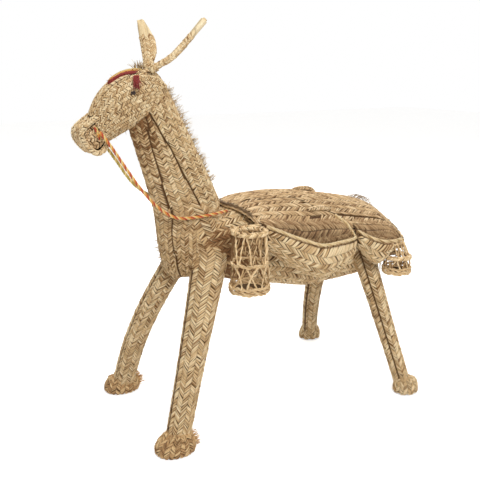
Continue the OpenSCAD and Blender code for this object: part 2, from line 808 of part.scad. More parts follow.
function pocket_point(front, s, q, thick) =
    let (
        rim = pocket_rim(front, s),
        edge = [rim[0], cover_half + sew_gap + pocket_t / 2, edge_z(rim[0]) - 2],
        middle = (rim + edge) / 2,
        half = (rim - edge) / 2,
        low = edge_z(rim[0]) - (front ? front_sag(s) : rear_sag(s)),
        p = cos(180 * q),
        r = sin(180 * q),
        sag = middle[2] - low
    )
    [
        rim[0],
        middle[1] + (half[1] + thick) * sign(p) * pow(abs(p), 0.8),
        middle[2] + half[2] * p - (sag + thick) * pow(r, 0.8)
    ];
pocket_cells = [14, 12];
function pocket_grid(front, side, thick) = [
    for (i = [0 : pocket_cells[0]]) [
        for (j = [0 : pocket_cells[1]])
            let (
                q = (side == left ? j : pocket_cells[1] - j) / pocket_cells[1],
                at = pocket_point(front, i / pocket_cells[0], q, thick)
            )
            [at[0], side * at[1], at[2]]
    ]
];
module pocket(front, side) color(straw)
    sheet(pocket_grid(front, side, -pocket_t / 2), pocket_grid(front, side, pocket_t / 2));
rim_rings = 18;
// A sloping rim stands this much further off the wall than its radius
rim_lift = 1.16;
module rim(front, side) color(pale_straw) tube(
    [for (i = [0 : rim_rings])
        let (at = pocket_rim(front, i / rim_rings))
        [at[0], side * at[1], at[2] + rim_d / 2 * rim_lift + sew_gap]],
    rim_d, 8, [0, 0, 1]
);
module front_left_pocket() pocket(true, left);
module front_right_pocket() pocket(true, right);
module rear_left_pocket() pocket(false, left);
module rear_right_pocket() pocket(false, right);
module front_left_rim() rim(true, left);
module front_right_rim() rim(true, right);
module rear_left_rim() rim(false, left);
module rear_right_rim() rim(false, right);

// Hanger cords stand forward from the cover's front corners, along X
hanger_y = cover_half - 2;
hanger_x0 = cover_x0(hanger_y - hanger_d / 2) - sew_gap;
hanger_z = cover_z(hanger_x0, hanger_y) - hanger_d / 2;
hanger_x1 = front_holder_x - 16;
module hanger(side) color(pale_straw)
    stick([hanger_x1, side * hanger_y, hanger_z], [hanger_x0, side * hanger_y, hanger_z], hanger_d);
module front_left_hanger() hanger(left);
module front_right_hanger() hanger(right);

// Holders: cord rings joined by zigzag strands, with a woven base. Each strand stops short of
// the rings by the sewing gap, and neighbouring strands are spread by the pinch.
eye_cord = 3.6;
eye_r = hanger_d / 2 + hanger_fit + eye_cord / 2;
// The eyes are sewn to the outside of the top ring, this far either side of its middle
eye_x = 12;
front_holder_z = hanger_z;
front_holder_y = hanger_y + eye_r + eye_cord / 2 + sew_gap + ring_d / 2
    + sqrt(pow(holder_top_r, 2) - pow(eye_x + eye_cord / 2, 2));
pinch = 0.45 * strand_d;
module cord_ring(r, z, d) translate([0, 0, z])
    rotate_extrude($fn = 48) translate([r, 0]) circle(d = d, $fn = 24);
function round_at(r, a, z) = [r * cos(a), r * sin(a), z];
function trim_at(way) =
    (ring_d / 2 + sew_gap + strand_d / 2 * sqrt(1 - way[2] * way[2])) / abs(way[2]);
module strand(from, to) {
    way = unit(to - from);
    stick(from + way * trim_at(way), to - way * trim_at(way), strand_d);
}
module zigzag(r0, z0, r1, z1, start) for (k = [0 : bays - 1], s = [-1, 1]) {
    a = 360 * k / bays + start;
    strand(
        round_at(r0, a + s * pinch / r0 * 180 / PI, z0),
        round_at(r1, a + s * (180 / bays - pinch / r1 * 180 / PI), z1)
    );
}
base_stack = ring_d + sew_gap;
mid_r = (holder_top_r + holder_base_r) / 2;
module front_holder(side) color(pale_straw)
    translate([front_holder_x, side * front_holder_y, front_holder_z]) {
        low = -holder_height;
        half = low * 0.5;
        cord_ring(holder_top_r, 0, ring_d);
        cord_ring(mid_r, half, ring_d);
        cord_ring(holder_base_r, low + base_stack, ring_d);
        cord_ring(holder_base_r, low, ring_d);
        zigzag(holder_top_r, 0, mid_r, half, 0);
        zigzag(mid_r, half, holder_base_r, low + base_stack, 0);
        for (x = [-eye_x, eye_x])
            translate([x, side * (hanger_y - front_holder_y), 0])
                rotate([0, 90, 0]) cord_ring(eye_r, 0, eye_cord);
    }
module rear_holder(side) color(pale_straw)
    translate([rear_holder_x, side * rear_holder_y, rear_holder_z]) {
        low = -rear_holder_height;
        cord_ring(rear_top_r, 0, ring_d);
        cord_ring(rear_base_r, low + base_stack, ring_d);
        cord_ring(rear_base_r, low, ring_d);
        zigzag(rear_top_r, 0, rear_base_r, low + base_stack, 0);
        for (x = rear_tie_x) {
            y = -side * sqrt(pow(rear_top_r, 2) - x * x);
            stick(
                [x, y, ring_d / 2 + sew_gap],
                [x, y, rear_tie_top(x) - rear_holder_z], strand_d
            );
        }
    }
// Where the rear holder's two ties meet the underside of the pocket
rear_tie_x = [-13, 9];
function rear_under(x, y) =
    let (
        s = (x - rear_pocket_x[0]) / (rear_pocket_x[1] - rear_pocket_x[0]),
        rim = pocket_rim(false, s),
        edge = [x, cover_half + sew_gap + pocket_t / 2, edge_z(x) - 2],
        middle = (rim + edge) / 2,
        half = (rim - edge) / 2,
        along = (y - middle[1]) / (half[1] + pocket_t / 2),
        p = sign(along) * pow(abs(along), 1 / 0.8),
        sag = middle[2] - edge_z(x) + rear_sag(s)
    )
    middle[2] + half[2] * p - (sag + pocket_t / 2) * pow(1 - p * p, 0.4);
function rear_tie_top(x) =
    let (y = rear_holder_y - sqrt(pow(rear_top_r, 2) - x * x), d = strand_d / 2)
    min([for (i = [-d, d], j = [-d, d]) rear_under(rear_holder_x + x + i, y + j)]) - sew_gap;
module holder_base(x, y, z, r) color(dark_straw) translate([x, y, z])
    cylinder(r = r - ring_d / 2 - sew_gap, h = base_t, center = true, $fn = 48);

module front_left_holder() front_holder(left);
module front_right_holder() front_holder(right);
module rear_left_holder() rear_holder(left);
module rear_right_holder() rear_holder(right);
module front_left_base()
    holder_base(front_holder_x, left * front_holder_y, front_holder_z - holder_height, holder_base_r);
module front_right_base()
    holder_base(front_holder_x, right * front_holder_y, front_holder_z - holder_height, holder_base_r);
module rear_left_base()
    holder_base(rear_holder_x, left * rear_holder_y, rear_holder_z - rear_holder_height, rear_base_r);
module rear_right_base()
    holder_base(rear_holder_x, right * rear_holder_y, rear_holder_z - rear_holder_height, rear_base_r);

barrel_skin();
barrel_stuffing();
spine_stick();
neck_skin();
neck_stuffing();
neck_stick();
head_skin();
head_stuffing();
muzzle();
eyes();
mane();
forelock();
forehead_tassel();
cheek_tassels();
noseband();
left_rein();
right_rein();
left_ear();
right_ear();
tail();
front_left_leg();
front_right_leg();
rear_left_leg();
rear_right_leg();
front_leg_stuffing();
rear_leg_stuffing();
leg_sticks();
front_left_hoof();
front_right_hoof();
rear_left_hoof();
rear_right_hoof();
saddle_cover();
carry_loop();
front_left_pocket();
front_right_pocket();
rear_left_pocket();
rear_right_pocket();
front_left_rim();
front_right_rim();
rear_left_rim();
rear_right_rim();
front_left_hanger();
front_right_hanger();
front_left_holder();
front_right_holder();
rear_left_holder();
rear_right_holder();
front_left_base();
front_right_base();
rear_left_base();
rear_right_base();
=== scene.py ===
# %% [markdown]
# # A woven grass donkey
# The CAD model gives every piece its place: barrel, neck, head, legs, pannier and bridle.
# This lesson dresses those pieces in plaited esparto grass. Each plait is built from small
# bundles of blades, called floats here, because their shadows are what the eye reads as weave.

import math

import bmesh
import bpy
import numpy as np
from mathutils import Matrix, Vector
from mathutils.bvhtree import BVHTree


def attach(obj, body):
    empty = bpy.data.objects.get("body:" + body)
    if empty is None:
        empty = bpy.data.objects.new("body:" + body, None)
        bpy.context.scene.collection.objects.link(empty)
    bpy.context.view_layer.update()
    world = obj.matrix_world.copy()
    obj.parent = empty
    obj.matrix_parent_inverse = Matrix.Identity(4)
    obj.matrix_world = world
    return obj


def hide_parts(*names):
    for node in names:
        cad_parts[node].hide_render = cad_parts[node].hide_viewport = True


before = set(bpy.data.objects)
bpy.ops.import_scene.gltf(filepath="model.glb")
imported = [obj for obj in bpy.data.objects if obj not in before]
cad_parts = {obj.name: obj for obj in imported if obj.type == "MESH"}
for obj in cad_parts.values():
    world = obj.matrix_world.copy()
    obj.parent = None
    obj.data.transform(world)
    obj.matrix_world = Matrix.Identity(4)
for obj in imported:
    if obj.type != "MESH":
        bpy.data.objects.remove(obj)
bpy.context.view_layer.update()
scene = bpy.context.scene
MM = 0.001
rng = np.random.default_rng(11)

# %% [markdown]
# ## Camera, floor and light
# The camera stands in front and to the left of the donkey, a little above its back.
# A photograph on white needs a floor that is nearly white, a world that looks white to the
# camera, and soft lamps that let the grass keep its own colour.

# %% Camera
camera = bpy.data.objects.new("camera", bpy.data.cameras.new("camera"))
camera.data.sensor_width = 36
camera.data.lens = 51
camera.location = (-0.558, -0.944, 0.557)
aim = Vector((-0.015, 0, 0.275)) - camera.location
camera.rotation_euler = aim.to_track_quat("-Z", "Y").to_euler()
scene.collection.objects.link(camera)
scene.camera = camera
scene.view_settings.view_transform = "Standard"
print("camera distance", round(aim.length, 3))


# %% Colour and node helpers
def tone(r, g, b):
    """A colour as seen on screen, 0 to 255, in the linear values that shaders use."""
    parts = [c / 255 for c in (r, g, b)]
    return tuple(p / 12.92 if p <= 0.04045 else ((p + 0.055) / 1.055) ** 2.4 for p in parts) + (1,)


def add_node(tree, kind, settings=None, inputs=None):
    """Adds a node, sets its options, and links or fills its inputs by name or number."""
    made = tree.nodes.new(kind)
    for key, value in (settings or {}).items():
        setattr(made, key, value)
    for key, value in (inputs or {}).items():
        if isinstance(value, bpy.types.NodeSocket):
            tree.links.new(value, made.inputs[key])
        else:
            made.inputs[key].default_value = value
    return made


def calc(tree, operation, a, b=0.0):
    """One Math node, by its output."""
    return add_node(tree, "ShaderNodeMath", {"operation": operation}, {0: a, 1: b}).outputs[0]


def ease(tree, value, low, high, to_low=0.0, to_high=1.0):
    """A smooth step from low to high."""
    return add_node(
        tree,
        "ShaderNodeMapRange",
        {"interpolation_type": "SMOOTHSTEP"},
        {"Value": value, "From Min": low, "From Max": high, "To Min": to_low, "To Max": to_high},
    ).outputs["Result"]


def blend_colour(tree, share, a, b):
    """A Mix node for colours, by its output."""
    made = add_node(tree, "ShaderNodeMix", {"data_type": "RGBA"}, {0: share, 6: a, 7: b})
    return made.outputs[2]


def blank_material(name):
    """A material with a Principled shader, and its node tree."""
    made = bpy.data.materials.new(name)
    made.use_nodes = True
    return made, made.node_tree, made.node_tree.nodes["Principled BSDF"]


def object_noise(tree, scale, detail=2.0):
    """Noise on the piece's own Object coordinates."""
    spread = add_node(tree, "ShaderNodeTexCoord").outputs["Object"]
    inputs = {"Vector": spread, "Scale": scale, "Detail": detail}
    return add_node(tree, "ShaderNodeTexNoise", None, inputs).outputs[0]


def base_tones(tree, shader, share, a, b):
    """Gives a shader a base colour between two tones."""
    tree.links.new(blend_colour(tree, share, a, b), shader.inputs["Base Color"])


def emboss(tree, shader, height, strength, distance):
    """Puts a Bump node between a height and a shader's normal."""
    inputs = {"Strength": strength, "Distance": distance, "Height": height}
    bump = add_node(tree, "ShaderNodeBump", None, inputs)
    tree.links.new(bump.outputs[0], shader.inputs["Normal"])


def as_mesh(bm, name):
    """Turns a bmesh into a mesh and frees it."""
    made = bpy.data.meshes.new(name)
    bm.to_mesh(made)
    bm.free()
    return made


print("half grey on screen is", round(tone(128, 128, 128)[0], 3), "in a shader")

# %% Floor
FLOOR_GLOW = 0.53
FLOOR_SIZE = 6
floor_material, tree, shader = blank_material("studio_floor")
base_tones(tree, shader, object_noise(tree, 60.0), tone(247, 247, 247), tone(250, 250, 250))
shader.inputs["Roughness"].default_value = 0.9
shader.inputs["Specular IOR Level"].default_value = 0.1
shader.inputs["Emission Color"].default_value = (1, 1, 1, 1)
rays = add_node(tree, "ShaderNodeLightPath")
glow = calc(tree, "MULTIPLY", rays.outputs["Is Camera Ray"], FLOOR_GLOW)
tree.links.new(glow, shader.inputs["Emission Strength"])
bm = bmesh.new()
bmesh.ops.create_grid(bm, x_segments=4, y_segments=4, size=FLOOR_SIZE)
floor = bpy.data.objects.new("studio_floor", as_mesh(bm, "studio_floor"))
floor.data.materials.append(floor_material)
scene.collection.objects.link(floor)
print("floor glow", FLOOR_GLOW)

# %% World
SOFT_LIGHT = 0.46
world = bpy.data.worlds.new("studio")
world.use_nodes = True
scene.world = world
tree = world.node_tree
soft = tree.nodes["Background"]
soft.inputs["Color"].default_value = (1, 0.99, 0.97, 1)
soft.inputs["Strength"].default_value = SOFT_LIGHT
white = add_node(tree, "ShaderNodeBackground", None, {"Color": (1, 1, 1, 1), "Strength": 1.0})
rays = add_node(tree, "ShaderNodeLightPath")
seen = calc(tree, "MAXIMUM", rays.outputs["Is Camera Ray"], rays.outputs["Is Glossy Ray"])
seen = calc(tree, "MAXIMUM", seen, rays.outputs["Is Transmission Ray"])
mixed = add_node(
    tree, "ShaderNodeMixShader", None, {0: seen, 1: soft.outputs[0], 2: white.outputs[0]}
)
tree.links.new(mixed.outputs[0], tree.nodes["World Output"].inputs["Surface"])
print("world strength", SOFT_LIGHT)


# %% Lamps
def lamp(name, place, target, size, watts):
    """A square area lamp that looks at a target."""
    made = bpy.data.objects.new(name, bpy.data.lights.new(name, "AREA"))
    made.data.size = size
    made.data.energy = watts
    made.location = place
    made.rotation_euler = (Vector(target) - Vector(place)).to_track_quat("-Z", "Y").to_euler()
    scene.collection.objects.link(made)


lamp("key_lamp", (-0.45, -1.75, 1.95), (0, 0, 0.28), 0.8, 32)
lamp("top_lamp", (0.4, 0.2, 2.3), (0, 0, 0.3), 1.5, 16)
lamp("fill_lamp", (0.7, 1.9, 1.3), (0, 0, 0.28), 1.2, 12)

# %% [markdown]
# ## Grass that knows its direction
# A blade of esparto has fine lines along its length, pale and brown stretches, and a dark
# line where two blades meet. One node group makes all of that from the piece's own UV map:
# x runs across a float and y along it. The attribute named tint differs from float to float.


# %% The grass group
grass = bpy.data.node_groups.new("grass_blade", "ShaderNodeTree")
for name, kind, start in (
    ("Pale", "NodeSocketColor", tone(226, 200, 152)),
    ("Mid", "NodeSocketColor", tone(196, 160, 108)),
    ("Dark", "NodeSocketColor", tone(112, 78, 44)),
    ("Lines", "NodeSocketFloat", 14.0),
    ("Blades", "NodeSocketFloat", 3.0),
    ("Ends", "NodeSocketFloat", 1.0),
):
    grass.interface.new_socket(name, in_out="INPUT", socket_type=kind).default_value = start
for name, kind in (
    ("Color", "NodeSocketColor"), ("Roughness", "NodeSocketFloat"), ("Height", "NodeSocketFloat"),
):
    grass.interface.new_socket(name, in_out="OUTPUT", socket_type=kind)
given = add_node(grass, "NodeGroupInput").outputs
where = add_node(grass, "ShaderNodeUVMap", {"uv_map": "blade"}).outputs[0]
place = add_node(grass, "ShaderNodeSeparateXYZ", None, {0: where}).outputs
tint = add_node(grass, "ShaderNodeAttribute", {"attribute_name": "tint"}).outputs["Fac"]


def streaks(across, along, seed, detail):
    """Noise that is stretched along the blade and starts anew on every float."""
    spot = add_node(
        grass,
        "ShaderNodeCombineXYZ",
        None,
        {
            0: calc(grass, "MULTIPLY", place[0], across),
            1: calc(grass, "MULTIPLY", place[1], along),
            2: calc(grass, "MULTIPLY", tint, seed),
        },
    )
    made = add_node(
        grass,
        "ShaderNodeTexNoise",
        None,
        {"Vector": spot.outputs[0], "Scale": 1.0, "Detail": detail, "Roughness": 0.6},
    )
    return made.outputs[0]


print("grass group sockets:", [s.name for s in grass.interface.items_tree])

# %% Tones along a blade
fibre = streaks(given["Lines"], 1.3, 57.0, 3.0)
blotch = streaks(2.4, 1.4, 91.0, 1.0)
strip = calc(grass, "FLOOR", calc(grass, "MULTIPLY", place[0], given["Blades"]))
lot = add_node(
    grass,
    "ShaderNodeCombineXYZ",
    None,
    {0: calc(grass, "MULTIPLY", strip, 5.37), 1: calc(grass, "MULTIPLY", tint, 71.0)},
)
lot = add_node(
    grass, "ShaderNodeTexNoise", None, {"Vector": lot.outputs[0], "Scale": 1.0, "Detail": 0.0}
).outputs[0]
shade = calc(grass, "MULTIPLY_ADD", tint, 0.55)
shade.node.inputs[2].default_value = -0.87
shade = calc(grass, "ADD", shade, calc(grass, "MULTIPLY", fibre, 0.8))
shade = calc(grass, "ADD", shade, calc(grass, "MULTIPLY", blotch, 0.3))
shade = calc(grass, "ADD", shade, calc(grass, "MULTIPLY", lot, 1.35))
warm = blend_colour(grass, ease(grass, shade, 0.10, 0.50), given["Dark"], given["Mid"])
warm = blend_colour(grass, ease(grass, shade, 0.45, 0.95), warm, given["Pale"])
print("nodes for the tones:", len(grass.nodes))

# %% Grooves, and painted shade at tucked ends and edges
fold = calc(grass, "FRACT", calc(grass, "MULTIPLY", place[0], given["Blades"]))
fold = calc(grass, "ABSOLUTE", calc(grass, "SUBTRACT", fold, 0.5))
groove = ease(grass, fold, 0.33, 0.5)
# Painted shade: a float darkens towards its ends, where it dips under its neighbours, and towards its
# sides
end = calc(grass, "ABSOLUTE", calc(grass, "SUBTRACT", place[1], 0.5))
tucked_shade = calc(grass, "MULTIPLY", ease(grass, end, 0.24, 0.5), given["Ends"])
side = calc(grass, "ABSOLUTE", calc(grass, "SUBTRACT", place[0], 0.5))
edge_shade = calc(grass, "MULTIPLY", ease(grass, side, 0.36, 0.5), given["Ends"])
tucked_shade = calc(grass, "MULTIPLY", calc(grass, "MAXIMUM", tucked_shade, edge_shade), 0.84)
# The grooves are dark joint lines between blades; the darkening at ends and sides is painted shade
joints_and_shade = calc(grass, "MAXIMUM", calc(grass, "MULTIPLY", groove, 0.5), tucked_shade)
joint_and_shade_colour = blend_colour(grass, 0.6, given["Dark"], (0.02, 0.012, 0.006, 1))
out = add_node(grass, "NodeGroupOutput")
grass.links.new(blend_colour(grass, joints_and_shade, warm, joint_and_shade_colour), out.inputs["Color"])
grass.links.new(ease(grass, fibre, 0.2, 0.8, 0.78, 0.5), out.inputs["Roughness"])
dent = calc(grass, "MULTIPLY", groove, 0.6)
height = calc(grass, "SUBTRACT", calc(grass, "MULTIPLY", fibre, 0.7), dent)
grass.links.new(height, out.inputs["Height"])
print("grass group nodes:", len(grass.nodes))


# %% Grass materials
def grass_material(name, pale, mid, dark, lines=14.0, blades=3.0, ends=1.0, relief=0.0006):
    """One kind of grass: its three tones, how fine its lines are, and its relief."""
    made, tree, shader = blank_material(name)
    group = add_node(tree, "ShaderNodeGroup", {"node_tree": grass})
    values = {"Pale": pale, "Mid": mid, "Dark": dark, "Lines": lines, "Blades": blades, "Ends": ends}
    for key, value in values.items():
        group.inputs[key].default_value = value
    emboss(tree, shader, group.outputs["Height"], 0.7, relief)
    tree.links.new(group.outputs["Color"], shader.inputs["Base Color"])
    tree.links.new(group.outputs["Roughness"], shader.inputs["Roughness"])
    shader.inputs["Specular IOR Level"].default_value = 0.25
    return made


CORD_LOOK = {"lines": 9.0, "blades": 2.0, "ends": 0.0, "relief": 0.0004}
SHEATH_LOOK = CORD_LOOK | {"relief": 0.0003}
HAIR_LOOK = {"lines": 5.0, "blades": 1.0, "ends": 0.0, "relief": 0.0002}
plait = grass_material("plaited_grass", tone(250, 227, 184), tone(220, 185, 135), tone(134, 94, 56))
brown_plait = grass_material(
    "pannier_grass", tone(244, 217, 174), tone(210, 175, 129), tone(124, 89, 56)
)
# Painted shade: a darker copy of the grass for places on the pannier and holders that lie in shade
shaded_plait = grass_material(
    "shaded_grass", tone(204, 171, 128), tone(160, 124, 86), tone(86, 60, 38)
)
hoof_plait = grass_material(
    "hoof_grass", tone(236, 202, 150), tone(192, 150, 102), tone(100, 66, 36)
)
bleached = grass_material(
    "bleached_sheath", tone(240, 224, 190), tone(228, 206, 164), tone(196, 166, 116), **SHEATH_LOOK
)
cord_grass = grass_material(
    "twisted_grass", tone(240, 218, 174), tone(214, 182, 130), tone(132, 96, 56), **CORD_LOOK
)
holder_grass = grass_material(
    "holder_cord", tone(246, 220, 176), tone(214, 179, 130), tone(122, 88, 54), **CORD_LOOK
)
hoof_fibre = grass_material(
    "frayed_hoof", tone(236, 200, 148), tone(196, 152, 102), tone(120, 82, 48), **HAIR_LOOK
)
fibre_grass = grass_material(
    "loose_grass", tone(226, 204, 164), tone(180, 152, 112), tone(104, 84, 60), **HAIR_LOOK
)
print("grass materials:", [m.name for m in bpy.data.materials])

# %% [markdown]
# Under the floats lies the part of the plait that is always in shade. Its material is dark,
# with a little noise on Object coordinates so that no gap looks flat.

# %% Shade between the floats
shade_straw, tree, shader = blank_material("shade_between")
speck = object_noise(tree, 420.0, 3.0)
base_tones(tree, shader, speck, tone(58, 38, 20), tone(116, 82, 46))
emboss(tree, shader, speck, 0.6, 0.0006)
shader.inputs["Roughness"].default_value = 0.9
print("made", shade_straw.name)

# %% [markdown]
# ## Shapes that are stamped many times
# A float is one small grid. A strand, a cord's ply or a hair is one small tube. Both are made
# once as templates, stamped as often as needed, and only then laid in place. Keeping the
# template to a few dozen faces lets thousands of floats stay light.

# %% Templates
ACROSS, ALONG = 6, 5
bm = bmesh.new()
bmesh.ops.create_grid(bm, x_segments=ACROSS, y_segments=ALONG, size=0.5)
float_shape = as_mesh(bm, "float_shape")
float_spots = np.array([v.co[:2] for v in float_shape.vertices])
tube_shapes = {}


def tube_shape(rings, sides):
    """A capped tube of unit rings, drawn up ring by ring from a circle."""
    if (rings, sides) not in tube_shapes:
        bm = bmesh.new()
        bmesh.ops.create_circle(bm, segments=sides, radius=1)
        edges = bm.edges[:]
        for _ in range(rings - 1):
            made = bmesh.ops.extrude_edge_only(bm, edges=edges)["geom"]
            edges = [g for g in made if isinstance(g, bmesh.types.BMEdge)]
            fresh = [g for g in made if isinstance(g, bmesh.types.BMVert)]
            bmesh.ops.translate(bm, verts=fresh, vec=(0, 0, 1))
        bmesh.ops.holes_fill(bm, edges=[e for e in bm.edges if e.is_boundary], sides=0)
        bmesh.ops.recalc_face_normals(bm, faces=bm.faces[:])
        tube_shapes[rings, sides] = as_mesh(bm, "tube_shape")
    return tube_shapes[rings, sides]


print("float faces:", len(float_shape.polygons))


# %% Put a piece together
def unit(v):
    """Vectors of length one."""
    return v / np.maximum(np.linalg.norm(v, axis=-1, keepdims=True), 1e-12)


def run_of(points):
    """How far along its line each point lies, for one line or for several."""
    steps = np.linalg.norm(np.diff(points, axis=-2), axis=-1)
    return np.concatenate([np.zeros(steps.shape[:-1] + (1,)), np.cumsum(steps, axis=-1)], axis=-1)


def between(at, known, rows):
    """Rows of numbers, read at other places than the known ones."""
    return np.stack([np.interp(at, known, column) for column in rows.T], axis=-1)


def piece(name, layers, body, slot, *nodes):
    """Stamps each layer's template, lays it in place, and rides the result on a body."""
    bm = bmesh.new()
    for layer in layers:
        for _ in range(len(layer["co"])):
            bm.from_mesh(layer["shape"])
    mesh = as_mesh(bm, name)
    points = np.concatenate([layer["co"].reshape(-1, 3) for layer in layers])
    mesh.vertices.foreach_set("co", points.astype(np.float32).ravel())
    spots = np.concatenate([layer["uv"].reshape(-1, 2) for layer in layers])
    corner = np.empty(len(mesh.loops), np.int32)
    mesh.loops.foreach_get("vertex_index", corner)
    spots = spots[corner].astype(np.float32).ravel()
    mesh.uv_layers.new(name="blade").data.foreach_set("uv", spots)
    tints = np.concatenate([np.repeat(la["tint"], la["co"].shape[1]) for la in layers])
    tints = tints.astype(np.float32)
    mesh.attributes.new("tint", "FLOAT", "POINT").data.foreach_set("value", tints)
    kinds = []
    for layer in layers:
        if layer["material"].name not in [m.name for m in mesh.materials]:
            mesh.materials.append(layer["material"])
        index = [m.name for m in mesh.materials].index(layer["material"].name)
        kinds.append(np.full(len(layer["co"]) * len(layer["shape"].polygons), index))
    mesh.polygons.foreach_set("material_index", np.concatenate(kinds).astype(np.int32))
    mesh.polygons.foreach_set("use_smooth", np.ones(len(mesh.polygons), bool))
    mesh.update()
    made = bpy.data.objects.new(name, mesh)
    scene.collection.objects.link(made)
    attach(made, body)
    if nodes:
        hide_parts(*nodes)
    print(f"{name}: {sum(len(la['co']) for la in layers)} stamps, {len(mesh.polygons)} faces")
    return made


# %% [markdown]
# ## A skin to weave on
# The CAD solids are plain stuffed forms. Rays from outside towards a limb's core find its
# surface, and a little smoothing turns the flat facets into one round skin. A weave then only
# needs two numbers for each point: how far along the limb, and how far round it.


# %% Skin
class Skin:
    """Rows of points along a piece, columns round or across it."""

    def __init__(self, grid, core, closed, inward=False):
        full = np.concatenate([grid, grid[:, :1]], axis=1) if closed else grid
        wide = np.concatenate([full[:, -2:-1], full, full[:, 1:2]], axis=1) if closed else full
        across = np.gradient(wide, axis=1)
        across = across[:, 1:-1] if closed else across
        normal = unit(np.cross(across, np.gradient(full, axis=0)))
        if (np.sum(normal * (full - core[:, None])) < 0) != inward:
            normal = -normal
        steps = np.linalg.norm(np.diff(full, axis=0), axis=2).mean(axis=1)
        self.full, self.normal, self.closed = full, normal, closed
        self.along = np.concatenate([[0], np.cumsum(steps)])
        self.length = self.along[-1]
        self.girth = np.linalg.norm(np.diff(full, axis=1), axis=2).sum(axis=1)

    def at(self, u, v):
        """Points and outward directions, u in metres along, v from 0 to 1 round."""
        rows, columns = self.full.shape[:2]
        row = np.interp(u, self.along, np.arange(rows))
        column = (v % 1 if self.closed else np.clip(v, 0, 1)) * (columns - 1)
        i = np.clip(row.astype(int), 0, rows - 2)
        j = np.clip(column.astype(int), 0, columns - 2)
        fi, fj = (row - i)[..., None], (column - j)[..., None]

        def mixed(a):
            near = a[i, j] * (1 - fj) + a[i, j + 1] * fj
            return near * (1 - fi) + (a[i + 1, j] * (1 - fj) + a[i + 1, j + 1] * fj) * fi

        return mixed(self.full), unit(mixed(self.normal))


print("a skin gives points and outward directions")


# %% Find a surface
def smooth(grid, passes, closed):
    """Averages each point with its neighbours, keeping the first and last rows."""
    for _ in range(passes):
        side = np.roll(grid, 1, 1) + np.roll(grid, -1, 1)
        if not closed:
            side[:, 0], side[:, -1] = 2 * grid[:, 0], 2 * grid[:, -1]
        grid = (side + 2 * grid) / 4
        inner = (grid[:-2] + grid[2:] + 2 * grid[1:-1]) / 4
        grid = np.concatenate([grid[:1], inner, grid[-1:]])
    return grid


OUTSIDE = 0.3


def hits(node, starts, ways, reach=OUTSIDE):
    """How far rays go from their starts to a CAD node. A miss takes its neighbour's value."""
    bm = bmesh.new()
    bm.from_mesh(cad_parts[node].data)
    bm.transform(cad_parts[node].matrix_world)
    tree = BVHTree.FromBMesh(bm)
    bm.free()
    far = np.full(starts.shape[:2], np.nan)
    for i, j in np.ndindex(*far.shape):
        hit = tree.ray_cast(Vector(starts[i, j]), Vector(ways[i, j]), reach)
        if hit[0] is not None:
            far[i, j] = hit[3]
    for back in (False, True):
        rows = far[::-1] if back else far
        for i in range(1, len(rows)):
            rows[i] = np.where(np.isnan(rows[i]), rows[i - 1], rows[i])
    return far


print("rays start", OUTSIDE, "m away from a limb's core")


# %% Rings round a limb
def round_off(grid, core, bulge):
    """Closes the last ring with a dome."""
    middle = grid[-1].mean(axis=0)
    way = unit(middle - grid[-2].mean(axis=0))
    turns = np.radians([18, 36, 54, 70, 82])
    caps = [
        middle + way * bulge * math.sin(t) + (grid[-1] - middle) * math.cos(t) for t in turns
    ]
    return np.concatenate([grid, caps]), np.concatenate([core, np.repeat(core[-1:], len(turns), 0)])


def even_round(grid):
    """Spaces the points of each ring evenly, so that all columns of a weave have one width."""
    full = np.concatenate([grid, grid[:, :1]], axis=1)
    at = np.linspace(0, 1, grid.shape[1], endpoint=False)
    return np.array([between(at * run[-1], run, ring) for run, ring in zip(run_of(full), full)])


def limb(node, keys, side, steps, turns=48, start=0.0, end=0.0, grow=1.0):
    """The skin round a core line. Each key is a point and the up direction of its section."""
    keys = np.array(keys, float)
    long = run_of(keys[:, :3])
    line = between(np.linspace(0, long[-1], steps + 1), long, keys)
    core, up = line[:, :3] * MM, unit(line[:, 3:])
    angle = np.linspace(0, 2 * math.pi, turns, endpoint=False)
    ways = np.cos(angle)[None, :, None] * np.array(side, float)
    ways = ways + np.sin(angle)[None, :, None] * up[:, None]
    radius = OUTSIDE - hits(node, core[:, None] + ways * OUTSIDE, -ways)
    grid = even_round(smooth(core[:, None] + ways * radius[..., None] * grow, 2, True))
    if end:
        grid, core = round_off(grid, core, end * MM)
    if start:
        grid, core = round_off(grid[::-1], core[::-1], start * MM)
        grid, core = grid[::-1], core[::-1]
    return Skin(grid, core, True)


print("limb tools ready")

# %% [markdown]
# ## The herringbone
# In a herringbone plait the floats of one column slant one way and those of the next column
# slant the other way. Each float dips under its neighbours at both ends, so its height follows
# a sine, and its cross-section shows three blades side by side.


# %% Weave floats on a skin
# Height of a float from its middle to its edge, and how far a float overlaps its neighbours
RIDGE = ([0, 1, 2, 3], [1.0, 0.82, 0.90, 0.10])
OVERLAP = 1.34
# How unevenly floats lie: in place, slant, width and height
ODD_PLACE, ODD_SLANT, ODD_WIDTH, ODD_RISE = 0.09, 0.15, 0.09, 0.17


def edge_at(edge, share):
    """An edge of a strip: one number, or a table of shares of the length and places round."""
    if isinstance(edge, tuple):
        return np.interp(share, *edge)
    return np.full(np.shape(share), float(edge))


